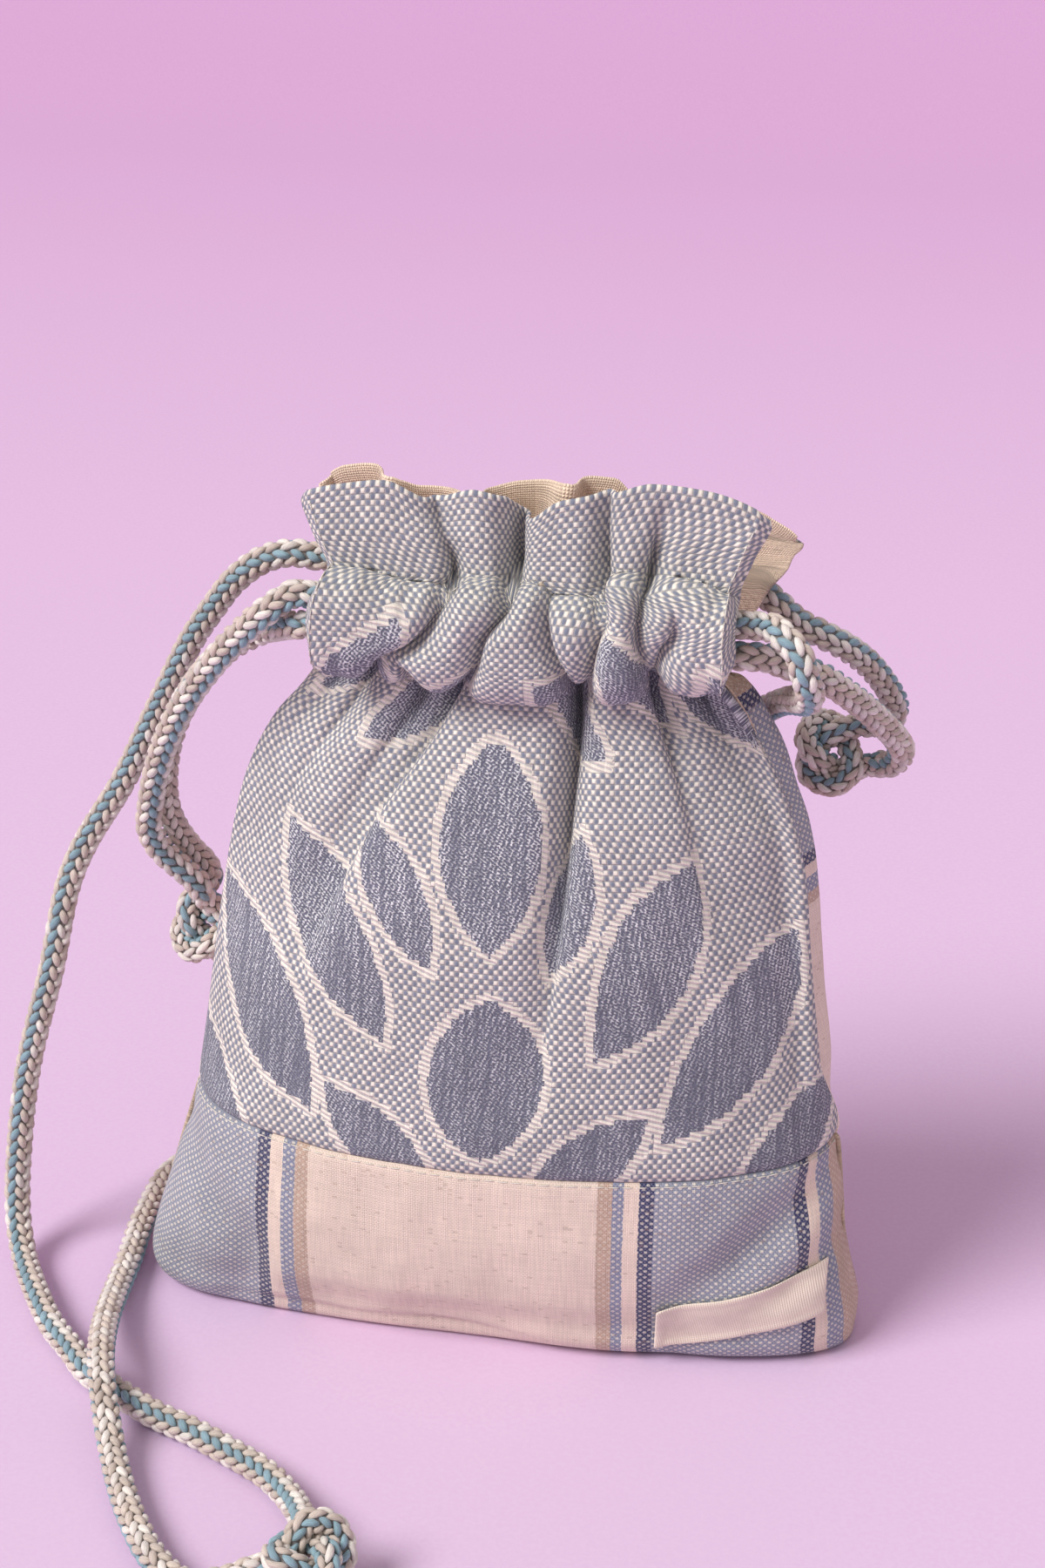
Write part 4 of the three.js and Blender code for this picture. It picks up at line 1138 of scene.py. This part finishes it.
class BAG_OT_cord(bpy.types.Operator):
    """Adds the braided cord: the lengths in the casings, the strap, the two tabs and their knots"""

    bl_idname = "bag.cord"
    bl_label = "Braided cord"

    def execute(self, context):
        material = braided_cotton(context.scene.bag_cord)
        handover = CORD * 0.04  # between a length in the casing and the one that goes on outside it
        runs = (
            ("back_length", "back_run", "right_tab", (-INSIDE, CORD_Y, UPPER_RUN), 1, 0.3),
            ("front_upper_length", "front_upper_run", "left_tab", (INSIDE, -CORD_Y, UPPER_RUN), -1, 0.8),
            ("front_lower_length", "front_lower_run", "right_tab", (-DEEP_INSIDE, -CORD_Y, LOWER_RUN), 1, 1.1),
        )
        for name, node, body, (x, y, z), way, turn in runs:
            line = centre_line(((x + way * handover, y, z), (way * CASING_END, y, z)))
            piece = braid(name, line, material, turn, seed=len(name))
            in_place(piece, body, "braided_cord", node)
        knots = (
            ("strap", "bag", STRAP_KNOT_AT, STRAP_LEFT_ROUTE, STRAP_RIGHT_ROUTE, (0.1, -0.45, 1), 3.3),
            ("right_tab", "right_tab", RIGHT_TAB_KNOT_AT, RIGHT_TAB_BACK_ROUTE, RIGHT_TAB_FRONT_ROUTE,
             (0.2, -0.85, 0.45), None),
            ("left_tab", "left_tab", LEFT_TAB_KNOT_AT, LEFT_TAB_BACK_ROUTE, LEFT_TAB_FRONT_ROUTE,
             (-0.2, -0.9, 0.3), None),
        )
        for name, body, at, first, last, axis, lowest in knots:
            line = centre_line(overhand(at, centre_line(first), centre_line(last), axis, lowest) * MM)
            piece = braid(name + "_overhand_knot", line, material, 0.5, thick=0.9, seed=len(name) + 40)
            in_place(piece, body, "braided_cord", name + "_knot")
        stretches = (
            ("strap_left_braid", "strap_left_stretch", "bag", STRAP_LEFT_ROUTE, 2.6, "strap"),
            ("strap_right_braid", "strap_right_stretch", "bag", STRAP_RIGHT_ROUTE, -0.6, None),
            ("right_tab_front_braid", "right_tab_front", "right_tab", RIGHT_TAB_FRONT_ROUTE, -1.75, "right_tab"),
            ("right_tab_back_braid", "right_tab_back", "right_tab", RIGHT_TAB_BACK_ROUTE, -1.2, None),
            ("left_tab_front_braid", "left_tab_front", "left_tab", LEFT_TAB_FRONT_ROUTE, 5.6, "left_tab"),
            ("left_tab_back_braid", "left_tab_back", "left_tab", LEFT_TAB_BACK_ROUTE, 2.9, None),
        )
        for name, node, body, route, turn, knot in stretches:
            line = centre_line(route)
            piece = braid(name, line, material, turn, seed=len(name) + 7)
            in_place(piece, body, "braided_cord", node)
            "loose" if "strap" in name else "hanging"
            (line[::5] * MM).tolist() + [list(route[-1])]
            [knot + "_overhand_knot"] if knot else []
        return {"FINISHED"}


class BAG_OT_stage(bpy.types.Operator):
    """Adds the floor and backdrop, the lights and the camera"""

    bl_idname = "bag.stage"
    bl_label = "Stage"

    def execute(self, context):
        stage = context.scene.bag_stage
        bpy.ops.object.select_all(action="DESELECT")
        bpy.ops.mesh.primitive_plane_add(size=FLOOR_SIZE, location=(0, -0.6, -0.0002))
        sweep = context.object
        sweep.name = "floor_and_backdrop"
        bpy.ops.object.mode_set(mode="EDIT")
        bpy.ops.mesh.select_mode(type="EDGE")
        bpy.ops.mesh.select_all(action="DESELECT")
        bpy.ops.object.mode_set(mode="OBJECT")
        for edge in sweep.data.edges:
            edge.select = all(sweep.data.vertices[v].co.y > 1 for v in edge.vertices)
        bpy.ops.object.mode_set(mode="EDIT")
        bpy.ops.mesh.extrude_region_move(TRANSFORM_OT_translate={"value": (0, 0, WALL_HEIGHT)})
        bpy.ops.object.mode_set(mode="OBJECT")
        bend = sweep.modifiers.new("cove", "BEVEL")
        bend.width, bend.segments, bend.angle_limit = COVE, 24, math.radians(30)
        bpy.ops.object.modifier_apply(modifier=bend.name)
        bpy.ops.object.transform_apply(location=True, rotation=True, scale=True)
        bpy.ops.object.shade_smooth()
        material, tree = new_material("matt_backdrop_paper")
        place = add(tree, "TexCoord", out=3)
        grain = add(tree, "TexNoise", {"Vector": place, "Scale": 900.0, "Detail": 2.0})
        behind = add(tree, "SeparateXYZ", place, out=1)
        # Painted shade: the paper darkens from the floor colour to the backdrop colour with distance behind the bag.
        colour = tint(ramp(behind, -0.1, 1.9), stage.floor, stage.backdrop)
        colour = tint(ramp(grain, 0.3, 0.7, 0.0, 0.05), colour, WHITE)
        normal = add(tree, "Bump", {"Strength": 0.15, "Distance": 0.0002, "Height": grain})
        shader = add(tree, "BsdfPrincipled", {"Base Color": colour, "Roughness": 0.95, "Normal": normal})
        add(tree, "OutputMaterial", shader)
        sweep.data.materials.append(material)

        world = bpy.data.worlds.new("soft_daylight")
        world.use_nodes = True
        world.node_tree.nodes.clear()
        add(world.node_tree, "OutputWorld", add(world.node_tree, "Background", SKY_COLOUR, stage.sky))
        context.scene.world = world

        bpy.ops.object.light_add(type="SUN", location=(-0.5, -0.7, 0.9))
        sun = context.object
        sun.name = "window_light"
        sun.data.energy = stage.key
        sun.data.angle = math.radians(28)
        sun.data.color = SUN_COLOUR
        sun.rotation_euler = Vector(SUN_WAY).to_track_quat("-Z", "Y").to_euler()

        camera = bpy.data.objects.new("camera", bpy.data.cameras.new("camera"))
        context.scene.collection.objects.link(camera)
        camera.data.lens = LENS
        camera.data.sensor_width = SENSOR_WIDTH
        camera.data.clip_start, camera.data.clip_end = 0.01, 20
        eye = Vector(EYE)
        back = (eye - Vector(LOOK_AT)).normalized()
        right = Vector((0, 0, 1)).cross(back).normalized()
        turn = Matrix((right, back.cross(right), back)).transposed().to_4x4()
        camera.matrix_world = Matrix.Translation(eye) @ turn @ Matrix.Rotation(ROLL, 4, "Z")
        context.scene.camera = camera
        context.scene.view_settings.view_transform = "Standard"
        return {"FINISHED"}


class BAG_PT_panel(bpy.types.Panel):
    """Lists the steps that build the bag."""

    bl_label = "Drawstring bag"
    bl_idname = "BAG_PT_panel"
    bl_space_type = "VIEW_3D"
    bl_region_type = "UI"
    bl_category = "Bag"

    def draw(self, context):
        for step in STEPS:
            self.layout.operator(step.bl_idname)
        for settings in (context.scene.bag_cloth, context.scene.bag_cord, context.scene.bag_stage):
            for name in settings.__annotations__:
                self.layout.prop(settings, name)


STEPS = (BAG_OT_stage, BAG_OT_cord, BAG_OT_outer_cloth, BAG_OT_lining, BAG_OT_label, BAG_OT_stitching)
SETTINGS = (("bag_cloth", BagClothSettings), ("bag_cord", BagCordSettings), ("bag_stage", BagStageSettings))


def register():
    """Adds the settings, the steps and the panel to Blender."""
    for name, settings in SETTINGS:
        bpy.utils.register_class(settings)
        setattr(bpy.types.Scene, name, bpy.props.PointerProperty(type=settings))
    for step in (*STEPS, BAG_PT_panel):
        bpy.utils.register_class(step)


def unregister():
    """Takes them out again."""
    for step in (*STEPS, BAG_PT_panel):
        bpy.utils.unregister_class(step)
    for name, settings in SETTINGS:
        delattr(bpy.types.Scene, name)
        bpy.utils.unregister_class(settings)


def main():
    """Builds the bag and its stage."""
    register()
    bpy.ops.bag.stage()
    bpy.ops.bag.cord()
    bpy.ops.bag.outer_cloth()
    bpy.ops.bag.lining()
    bpy.ops.bag.label()
    bpy.ops.bag.stitching()


if __name__ == "__main__":
    main()
